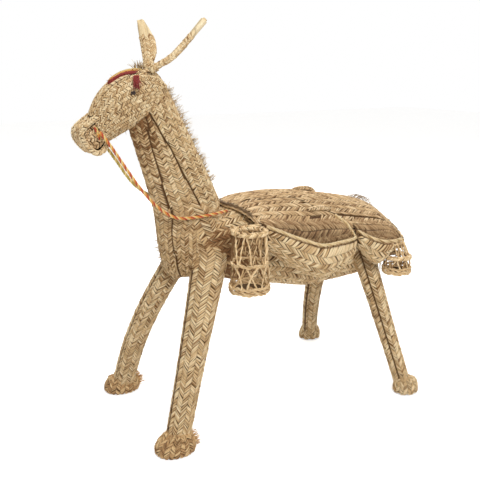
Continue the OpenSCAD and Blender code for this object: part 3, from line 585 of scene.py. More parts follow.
def weave(skin, columns, pitch, material, reach=(0, 1), sector=(0, 1), **more):
    """One layer of floats. pitch is the step along a column, in millimetres."""
    look = {"slant": 1.05, "swell": 2.2, "sink": 1.0, "lift": -0.8, "tint": (0, 1),
            "parts": [], "tone": lambda spot: 0.0}
    look.update(more)
    step = pitch * MM
    rows = max(1, int((reach[1] - reach[0]) * skin.length / step))
    k, r = (g.ravel() for g in np.meshgrid(np.arange(columns), np.arange(rows), indexing="ij"))
    count = len(k)
    u0 = reach[0] * skin.length + (r + 0.5 + 0.2 * (k % 2) + rng.normal(0, ODD_PLACE, count)) * step
    left, right = (edge_at(edge, u0 / skin.length) for edge in sector)
    wide = (right - left) / columns
    low, high = left + wide * k, left + wide * (k + 1)
    slant = np.where(k % 2, 1.0, -1.0) * look["slant"] * step * rng.normal(1, ODD_SLANT, count)
    b, a = float_spots[:, 0], float_spots[:, 1]
    fat = rng.normal(0.95, ODD_WIDTH, count)[:, None]
    u = u0[:, None] + slant[:, None] * a + b * step * fat * (1 - 0.25 * (2 * a) ** 4)
    v = (low + high)[:, None] / 2 + (high - low)[:, None] * a * OVERLAP
    keep = np.ones(count, bool) if "keep" not in more else more["keep"](u0, (low + high) / 2)
    u, v, fat = np.clip(u, 0, skin.length)[keep], v[keep], fat[keep]
    for line, gap in look["parts"]:
        at = edge_at(line, u / skin.length)
        off = (v - at + 0.5) % 1 - 0.5
        side = np.where(off.mean(axis=1) < 0, -1, 1)[:, None]
        room = gap * MM / np.interp(u, skin.along, skin.girth)
        v = np.where(np.abs(off) < 0.1, at + side * np.maximum(side * off, room), v)
    spot, out = skin.at(u, v)
    over = np.cos(math.pi * a) ** 0.5
    ridge = np.interp(np.abs(b) * ACROSS, *RIDGE)
    rise = look["lift"] + look["swell"] * ridge * over - look["sink"] * (1 - over)
    rise = rise * rng.normal(1, ODD_RISE, (len(u), 1)) * MM
    uv = np.broadcast_to(np.stack([b + 0.5, a + 0.5], axis=1), (len(u), len(a), 2))
    tint = np.clip(rng.uniform(*look["tint"], len(u)) + look["tone"](spot.mean(axis=1)), -0.9, 1)
    return {"shape": float_shape, "co": spot + out * rise[..., None], "uv": uv, "tint": tint,
            "material": material}


print("a float has", len(float_spots), "points")


# %% Line a skin
def lining(skin, depth, material=None, thick=1.2):
    """The skin itself under the floats, drawn in by depth millimetres."""
    points = skin.full - skin.normal * depth * MM
    rows, columns = points.shape[:2]
    bm = bmesh.new()
    bmesh.ops.create_grid(bm, x_segments=columns - 1, y_segments=rows - 1, size=0.5)
    for vert, point in zip(bm.verts, points.reshape(-1, 3)):
        vert.co = point
    if skin.closed:
        bmesh.ops.remove_doubles(bm, verts=bm.verts[:], dist=1e-5)
        bmesh.ops.holes_fill(bm, edges=[e for e in bm.edges if e.is_boundary], sides=0)
    else:
        bmesh.ops.solidify(bm, geom=bm.faces[:], thickness=thick * MM)
    bmesh.ops.recalc_face_normals(bm, faces=bm.faces[:])
    mesh = as_mesh(bm, "lining")
    spots = np.array([v.co[:] for v in mesh.vertices])[None]
    return {"shape": mesh, "co": spots, "uv": spots[..., :2] * 40, "tint": np.array([0.3]),
            "material": material or shade_straw}


print("linings are", shade_straw.name, "unless told otherwise")

# %% [markdown]
# ## Cords and loose fibres
# Rims, rings, reins and hairs are all strands that follow a route. A cord is two or three
# strands that wind round one route, which a cosine and a sine across the route give.


# %% Strands
# One unit of a tube's UV map, in metres along it
TUBE_UV = 0.02


def frames(routes):
    """Two directions across each route."""
    way = unit(np.gradient(routes, axis=-2))
    u = unit(np.cross(way, np.array([0.31, 0.52, 0.79])))
    return u, np.cross(way, u)


def strands(routes, radius, material, sides=5, tint=(0.1, 1.0)):
    """A layer of tubes. routes is strands, points, 3; radius may change from point to point."""
    routes = np.asarray(routes, float)
    count, rings = routes.shape[:2]
    shape = tube_shape(rings, sides)
    raw = np.array([v.co[:] for v in shape.vertices])
    ring = np.rint(raw[:, 2]).astype(int)
    u, w = frames(routes)
    wide = np.broadcast_to(np.asarray(radius, float), (count, rings))[:, ring, None]
    co = routes[:, ring] + wide * (u[:, ring] * raw[:, :1] + w[:, ring] * raw[:, 1:2])
    along = run_of(routes) / TUBE_UV
    turn = np.arctan2(raw[:, 1], raw[:, 0]) / (2 * math.pi) + 0.5
    uv = np.stack([np.broadcast_to(turn, (count, len(raw))), along[:, ring]], axis=2)
    return {"shape": shape, "co": co, "uv": uv, "tint": rng.uniform(*tint, count),
            "material": material}


print("one unit of a tube's UV map is", TUBE_UV, "m")


# %% Cords
def even(route, step):
    """The same route with evenly spaced, smoothed points."""
    route = np.asarray(route, float)
    long = run_of(route)
    fine = between(np.linspace(0, long[-1], max(3, int(long[-1] / step) + 1)), long, route)
    for _ in range(3):
        fine[1:-1] = (fine[:-2] + 2 * fine[1:-1] + fine[2:]) / 4
    return fine


def twist(route, plies, off, lay):
    """Routes of the plies that wind round a route."""
    u, w = frames(route[None])
    made = []
    for k in range(plies):
        turn = 2 * math.pi * (run_of(route) / lay + k / plies)
        made.append(route + off * (np.cos(turn)[:, None] * u[0] + np.sin(turn)[:, None] * w[0]))
    return np.array(made)


def rope(route, thick, plies, material, lay=None, step=0.0022, sides=6, tint=(0.1, 1.0)):
    """One twisted cord of that thickness."""
    line = even(route, step)
    ply = thick / 2 * (0.54 if plies == 2 else 0.48)
    routes = twist(line, plies, thick / 2 - ply, lay or thick * 2.6)
    return strands(routes, ply, material, sides, tint)


print("cord tools ready")


# %% Rings and rolls
def ring_route(centre, radius, wave=0.0, waves=7, points=72):
    """A level ring, in metres, that may wave up and down."""
    turn = np.linspace(0, 2 * math.pi * 1.01, points)
    lift = wave * np.sin(waves * turn + 1.3)
    return np.stack(
        [centre[0] + radius * np.cos(turn), centre[1] + radius * np.sin(turn), centre[2] + lift], 1
    )


def roll(route, radius, columns, pitch, material, turns=16, **more):
    """A plait sewn into a tube: its lining and its floats. A list of radii tapers it."""
    line = even(route, 0.003)
    share = np.linspace(0, 1, len(line))
    size = np.interp(share, np.linspace(0, 1, np.size(radius)), np.atleast_1d(radius))
    u, w = frames(line[None])
    angle = np.linspace(0, 2 * math.pi, turns, endpoint=False)[None, :, None]
    ring = np.cos(angle) * u[0][:, None] + np.sin(angle) * w[0][:, None]
    skin = Skin(line[:, None] + ring * size[:, None, None], line, True)
    look = {"swell": 1.5, "sink": 0.6, "lift": -0.5}
    look.update(more)
    return [lining(skin, 0.8), weave(skin, columns, pitch, material, **look)]


print("ring and roll tools ready")

# %% [markdown]
# ## Wool and thread
# The bridle is dyed yarn. A yarn is twisted, so its fine lines run askew round it, which a sum
# of the two UV values gives.

# %% The yarn group
wool = bpy.data.node_groups.new("wool_yarn", "ShaderNodeTree")
for name, start in (("Light", tone(240, 170, 70)), ("Deep", tone(180, 90, 30))):
    socket = wool.interface.new_socket(name, in_out="INPUT", socket_type="NodeSocketColor")
    socket.default_value = start
wool.interface.new_socket("Color", in_out="OUTPUT", socket_type="NodeSocketColor")
wool.interface.new_socket("Height", in_out="OUTPUT", socket_type="NodeSocketFloat")
given = add_node(wool, "NodeGroupInput").outputs
where = add_node(wool, "ShaderNodeUVMap", {"uv_map": "blade"}).outputs[0]
place = add_node(wool, "ShaderNodeSeparateXYZ", None, {0: where}).outputs
tint = add_node(wool, "ShaderNodeAttribute", {"attribute_name": "tint"}).outputs["Fac"]
along = calc(wool, "MULTIPLY", place[1], 9.0)
turn = calc(wool, "ADD", calc(wool, "MULTIPLY", place[0], 3.0), along)
ripple = calc(wool, "ABSOLUTE", calc(wool, "SUBTRACT", calc(wool, "FRACT", turn), 0.5))
ply_line = ease(wool, ripple, 0.05, 0.4)
fuzz = object_noise(wool, 900.0)
share = calc(wool, "ADD", ply_line, calc(wool, "ADD", fuzz, tint))
share = ease(wool, calc(wool, "MULTIPLY", share, 0.4), 0.15, 0.85)
out = add_node(wool, "NodeGroupOutput")
wool.links.new(blend_colour(wool, share, given["Deep"], given["Light"]), out.inputs["Color"])
wool.links.new(calc(wool, "ADD", ply_line, fuzz), out.inputs["Height"])
print("yarn group nodes:", len(wool.nodes))


# %% Yarns
def yarn(name, light, deep):
    """One dyed yarn."""
    made, tree, shader = blank_material(name)
    group = add_node(tree, "ShaderNodeGroup", {"node_tree": wool})
    group.inputs["Light"].default_value = light
    group.inputs["Deep"].default_value = deep
    emboss(tree, shader, group.outputs["Height"], 0.6, 0.0004)
    tree.links.new(group.outputs["Color"], shader.inputs["Base Color"])
    shader.inputs["Roughness"].default_value = 0.85
    shader.inputs["Sheen Weight"].default_value = 0.2
    return made


orange_yarn = yarn("orange_yarn", tone(232, 164, 74), tone(196, 112, 40))
red_yarn = yarn("red_yarn", tone(196, 78, 44), tone(138, 40, 26))
cream_yarn = yarn("cream_yarn", tone(240, 214, 140), tone(210, 166, 84))
olive_yarn = yarn("olive_yarn", tone(206, 184, 92), tone(150, 124, 54))
wine_wool = yarn("wine_wool", tone(160, 44, 34), tone(92, 20, 18))
dark_thread = yarn("dark_thread", tone(60, 40, 28), tone(24, 16, 12))
print("yarns ready")

# %% [markdown]
# ## Sticks inside the body
# The donkey stands because sticks run through its legs, neck and back. The CAD model keeps
# them, and they only need the finish of peeled wood.

# %% Stick finish
peeled, tree, shader = blank_material("stick_wood")
base_tones(tree, shader, object_noise(tree, 180.0, 4.0), tone(120, 92, 62), tone(176, 140, 96))
shader.inputs["Roughness"].default_value = 0.8
for name in ("spine_stick", "neck_stick", "leg_sticks"):
    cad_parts[name].data.materials.clear()
    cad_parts[name].data.materials.append(peeled)
print("sticks finished")

# %% [markdown]
# ## Reins
# Each rein is a cord of three yarns that hangs from the noseband, lies along the neck and ends
# on the withers. The route is the CAD model's, so the cord is as long as the solid.

# %% Rein cords
YARN_LAY, YARN_STEP = 0.014, 0.0018


def yarn_cord(line, yarns, off, ply):
    """A cord of three yarns: how far each lies from the middle, and its radius."""
    plies = twist(line, 3, off, YARN_LAY)
    return [strands(plies[k : k + 1], ply, yarns[k], 6) for k in range(3)]


left_route = MM * np.array([
    (-254, -26.7, 466), (-247, -28.5, 456), (-240, -29, 446), (-233, -29, 435), (-226, -29, 424),
    (-219, -29, 413), (-212, -30, 402), (-205, -30, 391), (-197, -31, 380), (-189, -31, 370),
    (-181, -32, 360), (-172, -32, 351), (-162, -33, 343), (-151, -34, 336), (-139, -35, 332),
    (-127, -35, 331), (-115, -35, 331), (-103, -35, 331), (-91, -35, 332), (-79, -34, 332.5),
    (-68, -30, 332.5), (-58, -25, 332), (-50, -19, 331.8),
])
right_route = MM * np.array([
    (-254, 26.7, 466), (-248, 28.3, 459), (-240, 29, 452), (-231, 29, 443), (-223, 29, 433),
    (-215, 29, 421), (-207, 29, 409), (-199, 30, 396), (-191, 30, 385), (-182, 31, 375),
    (-172, 32, 367), (-161, 34, 360), (-149, 35, 354), (-137, 35, 349), (-125, 35, 345),
    (-113, 35, 342), (-101, 35, 340), (-89, 35, 338), (-77, 34, 336), (-66, 29, 334),
    (-57, 24, 332.5), (-50, 19, 331.8),
])
for name, route, yarns in (
    ("left_rein", left_route, (orange_yarn, cream_yarn, red_yarn)),
    ("right_rein", right_route, (olive_yarn, olive_yarn, cream_yarn)),
):
    line = even(route, YARN_STEP)
    layers = yarn_cord(line, yarns, 0.00135, 0.00125)
    rein = piece(name + "_cord", layers, "donkey", "bridle_cord", name)
    long = float(np.linalg.norm(np.diff(line, axis=0), axis=1).sum())
    print(name, "is", round(long, 3), "m long")

# %% [markdown]
# ## Barrel, neck and head
# The stuffed body is a few wide plaits sewn edge to edge. The neck shows it best: one strip
# runs up each side, one down the throat and one over the crest, with a dark seam between.

# %% Barrel
ALONG_Y, ALONG_X, UP = (0, 1, 0), (1, 0, 0), (0, 0, 1)


def fade(gap, over):
    """From 0 to 1 as a gap grows from nothing to a given width."""
    return np.clip(gap / over, 0, 1)


def stuffed(name, layers, *nodes):
    """A piece of the stuffed body."""
    made = piece(name, layers, "donkey", "grass_plait", *nodes)
    return made


def barrel_tone(spot):
    """Darker blades behind the shoulder, where the holder keeps the light off."""
    return -0.95 * fade(-0.002 - spot[:, 0], 0.03) * fade(0.314 - spot[:, 2], 0.02)


barrel = limb("barrel_skin", [(-99, 0, 270, *UP), (257, 0, 260, *UP)], ALONG_Y, 44, end=4)
look = {"slant": 1.7, "tint": (-0.1, 0.9), "tone": barrel_tone}
layers = [lining(barrel, 1.6), weave(barrel, 44, 6.8, plait, **look)]
barrel_piece = stuffed("barrel_plait", layers, "barrel_skin", "barrel_stuffing")

# %% Neck
neck_keys = [(-117, 238), (-110, 277), (-108, 331), (-161, 480), (-176, 522)]
neck = limb("neck_skin", [(x, 0, z, *ALONG_Y) for x, z in neck_keys], ALONG_X, 44, start=8)
share = np.array([0, 0.16, 0.30, 0.34, 0.44, 0.54, 0.71, 0.85, 1])
throat_seam = np.array([0.644, 0.644, 0.620, 0.617, 0.608, 0.609, 0.621, 0.650, 0.650])
gusset_seam = np.array([0.927, 0.908, 0.827, 0.811, 0.786, 0.767, 0.745, 0.702, 0.661])
parts = [((share, throat_seam), 0.7), ((share, 1 - throat_seam), 0.7)]
parts += [((share, gusset_seam), 1.5), ((share, 1 - gusset_seam), 1.5)]


def neck_tone_and_shade(spot):
    """Darker blades towards the foot of the neck, and painted shade on the throat and under the jaw.
    """
    x, z = spot[:, 0], spot[:, 2]
    axis = np.interp(z, *(MM * np.array(neck_keys).T[::-1]))
    # Painted shade: the throat strip darkens below the head, most of all under the jaw
    throat = fade(axis - 0.018 - x, 0.008) * fade(z - 0.33, 0.08)
    jaw = fade(axis - 0.008 - x, 0.01) * fade(z - 0.42, 0.035)
    return -0.28 * fade(0.345 - z, 0.03) - 0.25 * throat - 0.65 * jaw


layers = [lining(neck, 1.8), weave(neck, 32, 4.1, plait, slant=1.8, parts=parts, tone=neck_tone_and_shade)]
stuffed("neck_plait", layers, "neck_skin", "neck_stuffing")

# %% Head
head_keys = [
    (-251.5, 466.5, -17, 43), (-242, 480, -16, 62), (-227.5, 493, -11, 76), (-208, 504, -4, 82),
    (-185.5, 512, 5, 80), (-166, 515.5, 12, 67), (-153, 511.5, 14, 47),
]
keys = [(x, 0, z, dx, 0, dz) for x, z, dx, dz in head_keys]
head = limb("head_skin", keys, ALONG_Y, 24, turns=40, end=7)
parts = [(0.175, 0.8), (0.325, 0.8)]
layers = [lining(head, 1.5), weave(head, 38, 3.3, plait, slant=1.6, parts=parts, swell=1.8)]
stuffed("head_plait", layers, "head_skin", "head_stuffing")

# %% [markdown]
# ## Legs and hooves
# A leg is a plait sewn into a tube over a stick. The front legs do not stop at the body: the
# same plait runs on up the shoulder, so the skin is drawn on past the leg's top and sinks into
# the neck there.


# %% Legs
def leg_skin(hoof, top, top_z, bow, ankle, hip, shoulder=()):
    """Level rings from hoof to hip, then the rings of the shoulder: z, x, y, half widths."""
    rings = []
    for z in np.linspace(14, top_z, 30):
        s = z / top_z
        half = (ankle + (hip - ankle) * s**1.7) / 2
        x = hoof[0] + (top[0] - hoof[0]) * s + bow * math.sin(math.pi * s)
        rings.append((z, x, hoof[1] + (top[1] - hoof[1]) * s, half, half))
    rings = np.array(rings + list(shoulder))
    angle = np.linspace(0, 2 * math.pi, 40, endpoint=False)
    grid = np.stack(
        [
            rings[:, 1:2] + rings[:, 3:4] * np.cos(angle),
            rings[:, 2:3] + rings[:, 4:5] * np.sin(angle),
            np.broadcast_to(rings[:, :1], (len(rings), len(angle))),
        ],
        axis=2,
    )
    return Skin(grid * MM, rings[:, [1, 2, 0]] * MM, True)


shoulder_left = [
    (282, -81, -17, 30, 24), (296, -86, -14, 31, 21), (312, -92, -12, 32, 20.5),
    (328, -99, -10, 32, 22), (342, -106, -8, 31, 22), (352, -112, -6, 30, 20),
]
shoulder_right = [
    (282, -109, 17, 24, 21), (296, -110, 14, 27, 20), (312, -111, 12, 30, 20.5),
    (328, -112, 10, 31, 22), (342, -114, 8, 31, 22), (352, -116, 6, 30, 20),
]
# Hoof, top, height of the top, bow, widths at ankle and hip, and the shoulder's rings
legs = {
    "front_left": ((-192, -115), (-78, -19), 270, 0, 36, 58, shoulder_left),
    "front_right": ((-190, 115), (-108, 19), 270, -18, 36, 46, shoulder_right),
    "rear_left": ((238, -142), (199, -51), 250, 0, 28, 42),
    "rear_right": ((235, 142), (206, 51), 250, -12, 28, 42),
}
leg_seams = {"front_left": 0.47, "front_right": 0.53, "rear_left": 0.62, "rear_right": 0.55}
leg_skins = {}
print("front shoulders reach", shoulder_left[-1][0], "mm up")


# %% Weave the legs
def shoulder_tone(spot):
    """Darker blades towards the top of a leg."""
    return -0.24 * fade(spot[:, 2] - 0.245, 0.04)


for name, shape in legs.items():
    skin = leg_skins[name] = leg_skin(*shape)
    columns = 14 if name.startswith("front") else 10
    look = {"slant": 2.7, "tint": (-0.1, 1), "tone": shoulder_tone}
    look["parts"] = [(leg_seams[name], 0.9)]
    layers = [lining(skin, 1.6), weave(skin, columns, 4.6, plait, **look)]
    nodes = [name + "_leg"]
    if name.endswith("left"):
        nodes.append(name.split("_")[0] + "_leg_stuffing")
    stuffed(name + "_leg_plait", layers, *nodes)


# %% Hooves
def tuft(root, way, count, long, thick, fan, material, points=4, droop=0.0, tint=(0.1, 1.0)):
    """Loose blades from a root, or from one root each, that fan out and may droop."""
    root = np.broadcast_to(np.asarray(root, float), (count, 3))
    way = unit(np.broadcast_to(np.asarray(way, float), (count, 3)) + rng.normal(0, fan, (count, 3)))
    size = long * rng.uniform(0.6, 1.0, (count, 1, 1))
    t = np.linspace(0, 1, points)[None, :, None]
    bend = rng.normal(0, fan * 0.6, (count, 1, 3)) * t**2
    routes = root[:, None] + size * (t * way[:, None] + bend)
    routes[..., 2] -= (droop * size * t**2)[..., 0]
    taper = thick * np.linspace(1, 0.45, points)
    return strands(routes, taper, material, 4, tint)


def scatter(middle, count, reach):
    """Roots strewn round a point in millimetres, as far as a reach in metres."""
    return np.array(middle) * MM + rng.uniform(-1, 1, (count, 3)) * reach


HEEL = 90
for name, shape in legs.items():
    (x, y), front = shape[0], name.startswith("front")
    keys = [(x, y, 1.6, *ALONG_Y), (x, y, 25 if front else 24, *ALONG_Y)]
    skin = limb(name + "_hoof", keys, ALONG_X, 10, 40, start=0.6, end=3)
    look = {"reach": (0.30, 0.98), "swell": 1.9, "lift": -1.1, "slant": 2.0}
    columns, finish = (22, hoof_plait) if front else (18, plait)
    layers = [lining(skin, 1.6), weave(skin, columns, 4.2, finish, **look)]
    if front:
        heel = scatter((x + 26, y, 14), HEEL, (0.003, 0.013, 0.008))
        layers.append(tuft(heel, (1, 0, 0.25), HEEL, 0.011, 0.0007, 0.2, hoof_fibre, tint=(0.1, 0.9)))
    piece(name + "_hoof_plait", layers, "donkey", "grass_plait", name + "_hoof")

# %% [markdown]
# ## Muzzle and noseband
# A broad band is folded over the tip of the nose, and its rolled edges stand proud of the
# darker panels at the sides.

# %% Muzzle
nose = MM * np.array([
    (-253, 0, 486.5), (-264, 0, 478.5), (-274, 0, 471.5), (-280, 0, 464), (-278, 0, 457),
    (-271, 0, 447), (-263, 0, 438), (-257, 0, 434), (-251, 0, 434), (-246, 0, 439),
    (-242, 0, 445), (-239, 0, 451),
])
nose_line = even(nose, 0.0036)
across = np.linspace(-15, 15, 9) * MM
grid = np.repeat(nose_line[:, None], len(across), axis=1)
grid[..., 1] = across
middle = np.repeat(MM * np.array([[-264.0, 0, 460]]), len(grid), axis=0)
band = Skin(grid, middle, False)
layers = [lining(band, 0.2, thick=2), weave(band, 5, 5.6, plait, lift=0.8, swell=1.8)]
print("muzzle band is", round(band.length, 3), "m long")

# %% Muzzle sides
steps = np.linspace(0, 1, 12)
upper, under = (
    between(steps, np.linspace(0, 1, len(p)), p)
    for p in (even(nose[:4], 0.003), even(nose[:3:-1], 0.003))
)


def nose_side(y, first, last):
    """A flat panel at one side of the nose, between two shares of its depth."""
    share = np.linspace(first, last, 9)[None, :, None]
    grid = upper[:, None] * (1 - share) + under[:, None] * share
    grid[..., 1] = y * MM
    return Skin(grid, np.repeat(middle[:1], len(steps), axis=0), False)


for side in (-1, 1):
    panel = nose_side(side * 15.5, 0.14, 0.86)
    layers.append(lining(nose_side(side * 14.5, 0.01, 0.99), 0.5, thick=2))
    layers.append(weave(panel, 6, 4.4, brown_plait, lift=-0.6, tint=(0, 0.8)))
    layers += roll(nose_line + [0, side * 18 * MM, 0], 0.0034, 4, 4.6, plait, tint=(0.4, 1))
piece("muzzle_plait", layers, "donkey", "grass_plait", "muzzle")


# %% Noseband
def ring_line(node, count=48):
    """The middle line of a ring-shaped CAD node."""
    spots = np.array([v.co[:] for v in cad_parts[node].data.vertices])
    middle = spots.mean(axis=0)
    axes = np.linalg.svd(spots - middle, full_matrices=False)[2]
    flat = (spots - middle) @ axes[:2].T
    turn = (np.arctan2(flat[:, 1], flat[:, 0]) / (2 * math.pi)) % 1
    rim = []
    for k in range(count):
        gap = np.abs((turn - k / count + 0.5) % 1 - 0.5)
        near = spots[np.argsort(gap)[:14]]
        rim.append(near.mean(axis=0))
    return np.array(rim + rim[:1])


noseband_line = even(ring_line("noseband"), YARN_STEP)
centre = noseband_line.mean(axis=0)
sunk = fade(noseband_line[:, 2:] - 0.470, 0.010)
noseband_line = centre + (noseband_line - centre) * (0.78 - 0.26 * sunk)
layers = yarn_cord(noseband_line, (orange_yarn, cream_yarn, red_yarn), 0.0014, 0.0013)
piece("noseband_cord", layers, "donkey", "bridle_cord", "noseband")

# %% [markdown]
# ## Ears
# One ear is a leaf of plait with a pale, bare tip. The other has rolled up into a narrow plait.
# Both are tied at the root, where the ear bends, so each rides on its own body.

# %% Ears
leaf_line = [
    (-161, 20, 547), (-157, 25, 560), (-152, 32, 574), (-151, 39, 589), (-153, 47, 604),
    (-156, 54, 619),
]
roll_line = [
    (-172, -18, 547), (-160, -22, 556), (-145, -27, 564), (-127, -32, 582), (-111, -37, 601),
    (-96, -42, 619),
]
WOVEN = (0.05, 0.70)
keys = [(*p, 0, 0.9, -0.43) for p in leaf_line]
leaf = limb("right_ear", keys, ALONG_X, 20, 28, end=2.5, grow=1.14)
keys = [(*p, 0.632, -0.199, -0.748) for p in roll_line]
rolled = limb("left_ear", keys, (0.3, 0.954, 0), 22, 24, end=1)
for name, skin, line, columns in (
    ("right_ear", leaf, leaf_line, 10), ("left_ear", rolled, roll_line, 6),
):
    line = np.array(line) * MM
    root = even(line, 0.004)[:5]
    turn = np.linspace(0, 2 * math.pi * 3, 60)
    u, w = frames(root[None])
    wrap = root[0] + (root[3] - root[0]) * np.linspace(0.25, 0.95, len(turn))[:, None]
    wrap = wrap + 0.0058 * (np.cos(turn)[:, None] * u[0, 1] + np.sin(turn)[:, None] * w[0, 1])
    layers = [
        lining(skin, 0.4, bleached),
        weave(skin, columns, 5.2, plait, reach=WOVEN, swell=1.5, lift=-0.5, sink=0.6),
        rope(wrap, 0.003, 2, cord_grass),
    ]
    if name == "left_ear":
        sheath = even(line[3:] - (line[4] - line[3]) * 0.1, 0.004)
        layers.append(strands([sheath], np.linspace(0.0044, 0.0052, len(sheath)), bleached, 12))
    piece(name + "_plait", layers, name, "grass_plait", name)

# %% [markdown]
# ## Hair and tassels
# The mane, forelock and tail are ends of grass left loose. Their roots are spread along a line
# and every blade leans a little differently.

# %% Mane and forelock
HAIRS = 480
crest_u = rng.uniform(0.52, 1.0, HAIRS) * neck.length
crest, crest_out = neck.at(crest_u, rng.normal(0, 0.016, HAIRS) % 1)
mane_way = unit(crest_out + np.array([0.15, 0, 0.35]) + rng.normal(0, 0.2, (HAIRS, 3)))
long = np.where(rng.random((HAIRS, 1, 1)) < 0.25, 0.019, 0.012)
roots = crest - crest_out * 0.003
mane = tuft(roots, mane_way, HAIRS, long, 0.00045, 0.2, fibre_grass, tint=(0, 0.7))
piece("mane_blades", [mane], "donkey", "loose_fibre", "mane")
LOCK = 46
brow = scatter((-184, -2, 551), LOCK, (0.008, 0.006, 0.001))
lock = tuft(brow, (-0.25, 0, 1), LOCK, 0.011, 0.0005, 0.3, fibre_grass, tint=(0, 0.8))
piece("forelock_blades", [lock], "donkey", "loose_fibre", "forelock")

# %% Tail
BLADES, BENDS = 64, 9
run = np.linspace(0, 1, BENDS)[None]
spread, far, long = rng.uniform([-0.5, -4, 0.7], [0.5, 4, 1.0], (BLADES, 3)).T[..., None]
hang = np.stack(
    [
        266 + 16 * np.sin(1.92 * run) + far * run,
        spread * (4 + 20 * run) + rng.normal(0, 1.5, (BLADES, 1)) * run,
        267 - 87 * long * run**1.5,
    ],
    axis=2,
)
wrap = np.array([(253 + 18 * k / 60, 0, 268) for k in range(61)]) * MM
turn = np.linspace(0, 2 * math.pi * 5, len(wrap))
wrap[:, 1] += 0.0044 * np.cos(turn)
wrap[:, 2] += 0.0044 * np.sin(turn)
layers = [rope(wrap, 0.0034, 2, cord_grass)]
layers.append(strands(hang * MM, 0.0011 * np.linspace(1, 0.4, BENDS), fibre_grass, 4))
piece("tail_blades", layers, "tail", "loose_fibre", "tail")

# %% Stray blades
ON_LEG, ON_CHEST = 50, 30
layers = []
for skin, count, low, high in (
    (neck, 110, 0.05, 0.95), (barrel, 130, 0.05, 0.98), (head, 40, 0.1, 0.9),
):
    spot, out = skin.at(rng.uniform(low, high, count) * skin.length, rng.uniform(0, 1, count))
    lean = out * 0.6 + rng.normal(0, 0.5, (count, 3))
    layers.append(tuft(spot, lean, count, 0.008, 0.0004, 0.2, fibre_grass, tint=(0.1, 0.9)))
for skin in leg_skins.values():
    spot, out = skin.at(rng.uniform(0.05, 0.8, ON_LEG) * skin.length, rng.uniform(0, 1, ON_LEG))
    lean = out + rng.normal(0, 0.5, (ON_LEG, 3))
    layers.append(tuft(spot, lean, ON_LEG, 0.006, 0.0004, 0.2, fibre_grass))
low = rng.uniform(0.10, 0.26, ON_CHEST) * neck.length
spot, out = neck.at(low, rng.normal(0.5, 0.03, ON_CHEST))
lean = out + [0, 0, 0.3]
layers.append(tuft(spot, lean, ON_CHEST, 0.009, 0.0005, 0.3, fibre_grass, tint=(0, 0.6)))
piece("stray_blades", layers, "donkey", "loose_fibre")

# %% Tassels and eyes
TASSEL = 44
crown_u = np.linspace(0, head.length, 60)
crown_x = np.maximum.accumulate(head.at(crown_u, np.full(len(crown_u), 0.25))[0][:, 0])


def on_brow(count, start, end, spread, lift, points=7):
    """Routes that lie over the brow. Each end is an X and a place round the head."""
    run = np.linspace(0, 1, points)[None]
    x, v = (
        rng.normal(a, loose, (count, 1)) * (1 - run) + rng.normal(b, loose, (count, 1)) * run
        for a, b, loose in zip(start, end, (2.5, spread))
    )
    spot, out = head.at(np.interp(x * MM, crown_x, crown_u), v)
    high = rng.uniform(*lift, (count, 1)) * (0.5 + np.sin(math.pi * run * 0.8))
    return spot + out * high[..., None] * MM


wool_routes = on_brow(70, (-196, 0.308), (-227, 0.272), 0.006, (0.0, 2.2))
layers = [strands(wool_routes, 0.0008, wine_wool, 4)]
straws = on_brow(18, (-186, 0.280), (-225, 0.256), 0.009, (0.8, 2.6))
for k, route in enumerate(straws):
    layers.append(rope(route, 0.0022, 2, (orange_yarn, cord_grass, cream_yarn)[k % 3]))
piece("forehead_tassel_wool", layers, "donkey", "red_wool", "forehead_tassel")
layers, stitches = [], []
for side in (-1, 1):
    top = scatter((-199, side * 29.5, 541), TASSEL, (0.004, 0.0022, 0.0008))
    layers.append(tuft(top, (-0.05, side * 0.12, -1), TASSEL, 0.019, 0.0008, 0.10, wine_wool, 5))
    tie = top.mean(axis=0) + ring_route((0, 0, 0), 0.0036, points=20)
    layers.append(rope(tie, 0.0022, 2, red_yarn))
    for k in range(5):
        low = MM * np.array([-206.0, side * (27.2 + 0.4 * (k % 2)), 515.5 + 0.9 * k])
        stitches.append(np.linspace(low, low + MM * np.array([6.0, side * 0.3, 0.4]), 4))
piece("cheek_tassel_wool", layers, "donkey", "red_wool", "cheek_tassels")
piece("eye_stitches", [strands(stitches, 0.0008, dark_thread, 5)], "donkey", "eye_thread", "eyes")

# %% [markdown]
# ## Pannier
# The pannier is one long cloth of plaits laid over the back, with two pockets sewn to each
# edge. Rays straight down find the cloth. A pocket's wall is a half ring from rim to cloth, so
# its widest, nearest and lowest points at each station are enough to draw it anew.

# %% Cover cloth
COVER_TIP, COVER_REAR, COVER_SWEEP, COVER_HALF = -46, 274, 22, 78
SEWN_Y = 77.6


def cover_front(y):
    """Where the cloth starts: a point on the ridge, swept back to the sides."""
    return COVER_TIP + COVER_SWEEP * (abs(y) / COVER_HALF) ** 1.2


sides = np.linspace(-SEWN_Y, SEWN_Y, 33)
runs = np.linspace(0.002, 0.998, 46)
starts = np.array([
    [(cover_front(y) + s * (COVER_REAR - cover_front(y)), y, 500) for y in sides] for s in runs
]) * MM
fall = np.broadcast_to(np.array([0, 0, -1.0]), starts.shape)
drop = hits("saddle_cover", starts, fall, 0.5)
grid = starts.copy()
grid[..., 2] -= drop
cover = Skin(smooth(grid, 1, False), grid.mean(axis=1) - [0, 0, 0.1], False)
cover_cloth = piece("cover_cloth", [lining(cover, 1.9, thick=1.4)], "pannier", "pannier_plait")

# %% Cover plait
seam_share = np.array([0, 0.085, 0.17, 0.33, 0.383, 0.448, 0.5, 1])
seam_side = np.array([0.36, 0.345, 0.285, 0.29, 0.19, 0.126, 0.10, 0.08])
parts = [((seam_share, seam_side), 0.9), ((seam_share, 1 - seam_side), 0.9)]
HEM_D = 0.0056


def slit(u, v):
    """The sunk floats of a slit near each edge, darkened with painted shade."""
    beside = np.abs(np.abs(v - 0.5) - 0.42) < 0.022
    return (np.abs(u / cover.length - 0.37) < 0.030) & beside


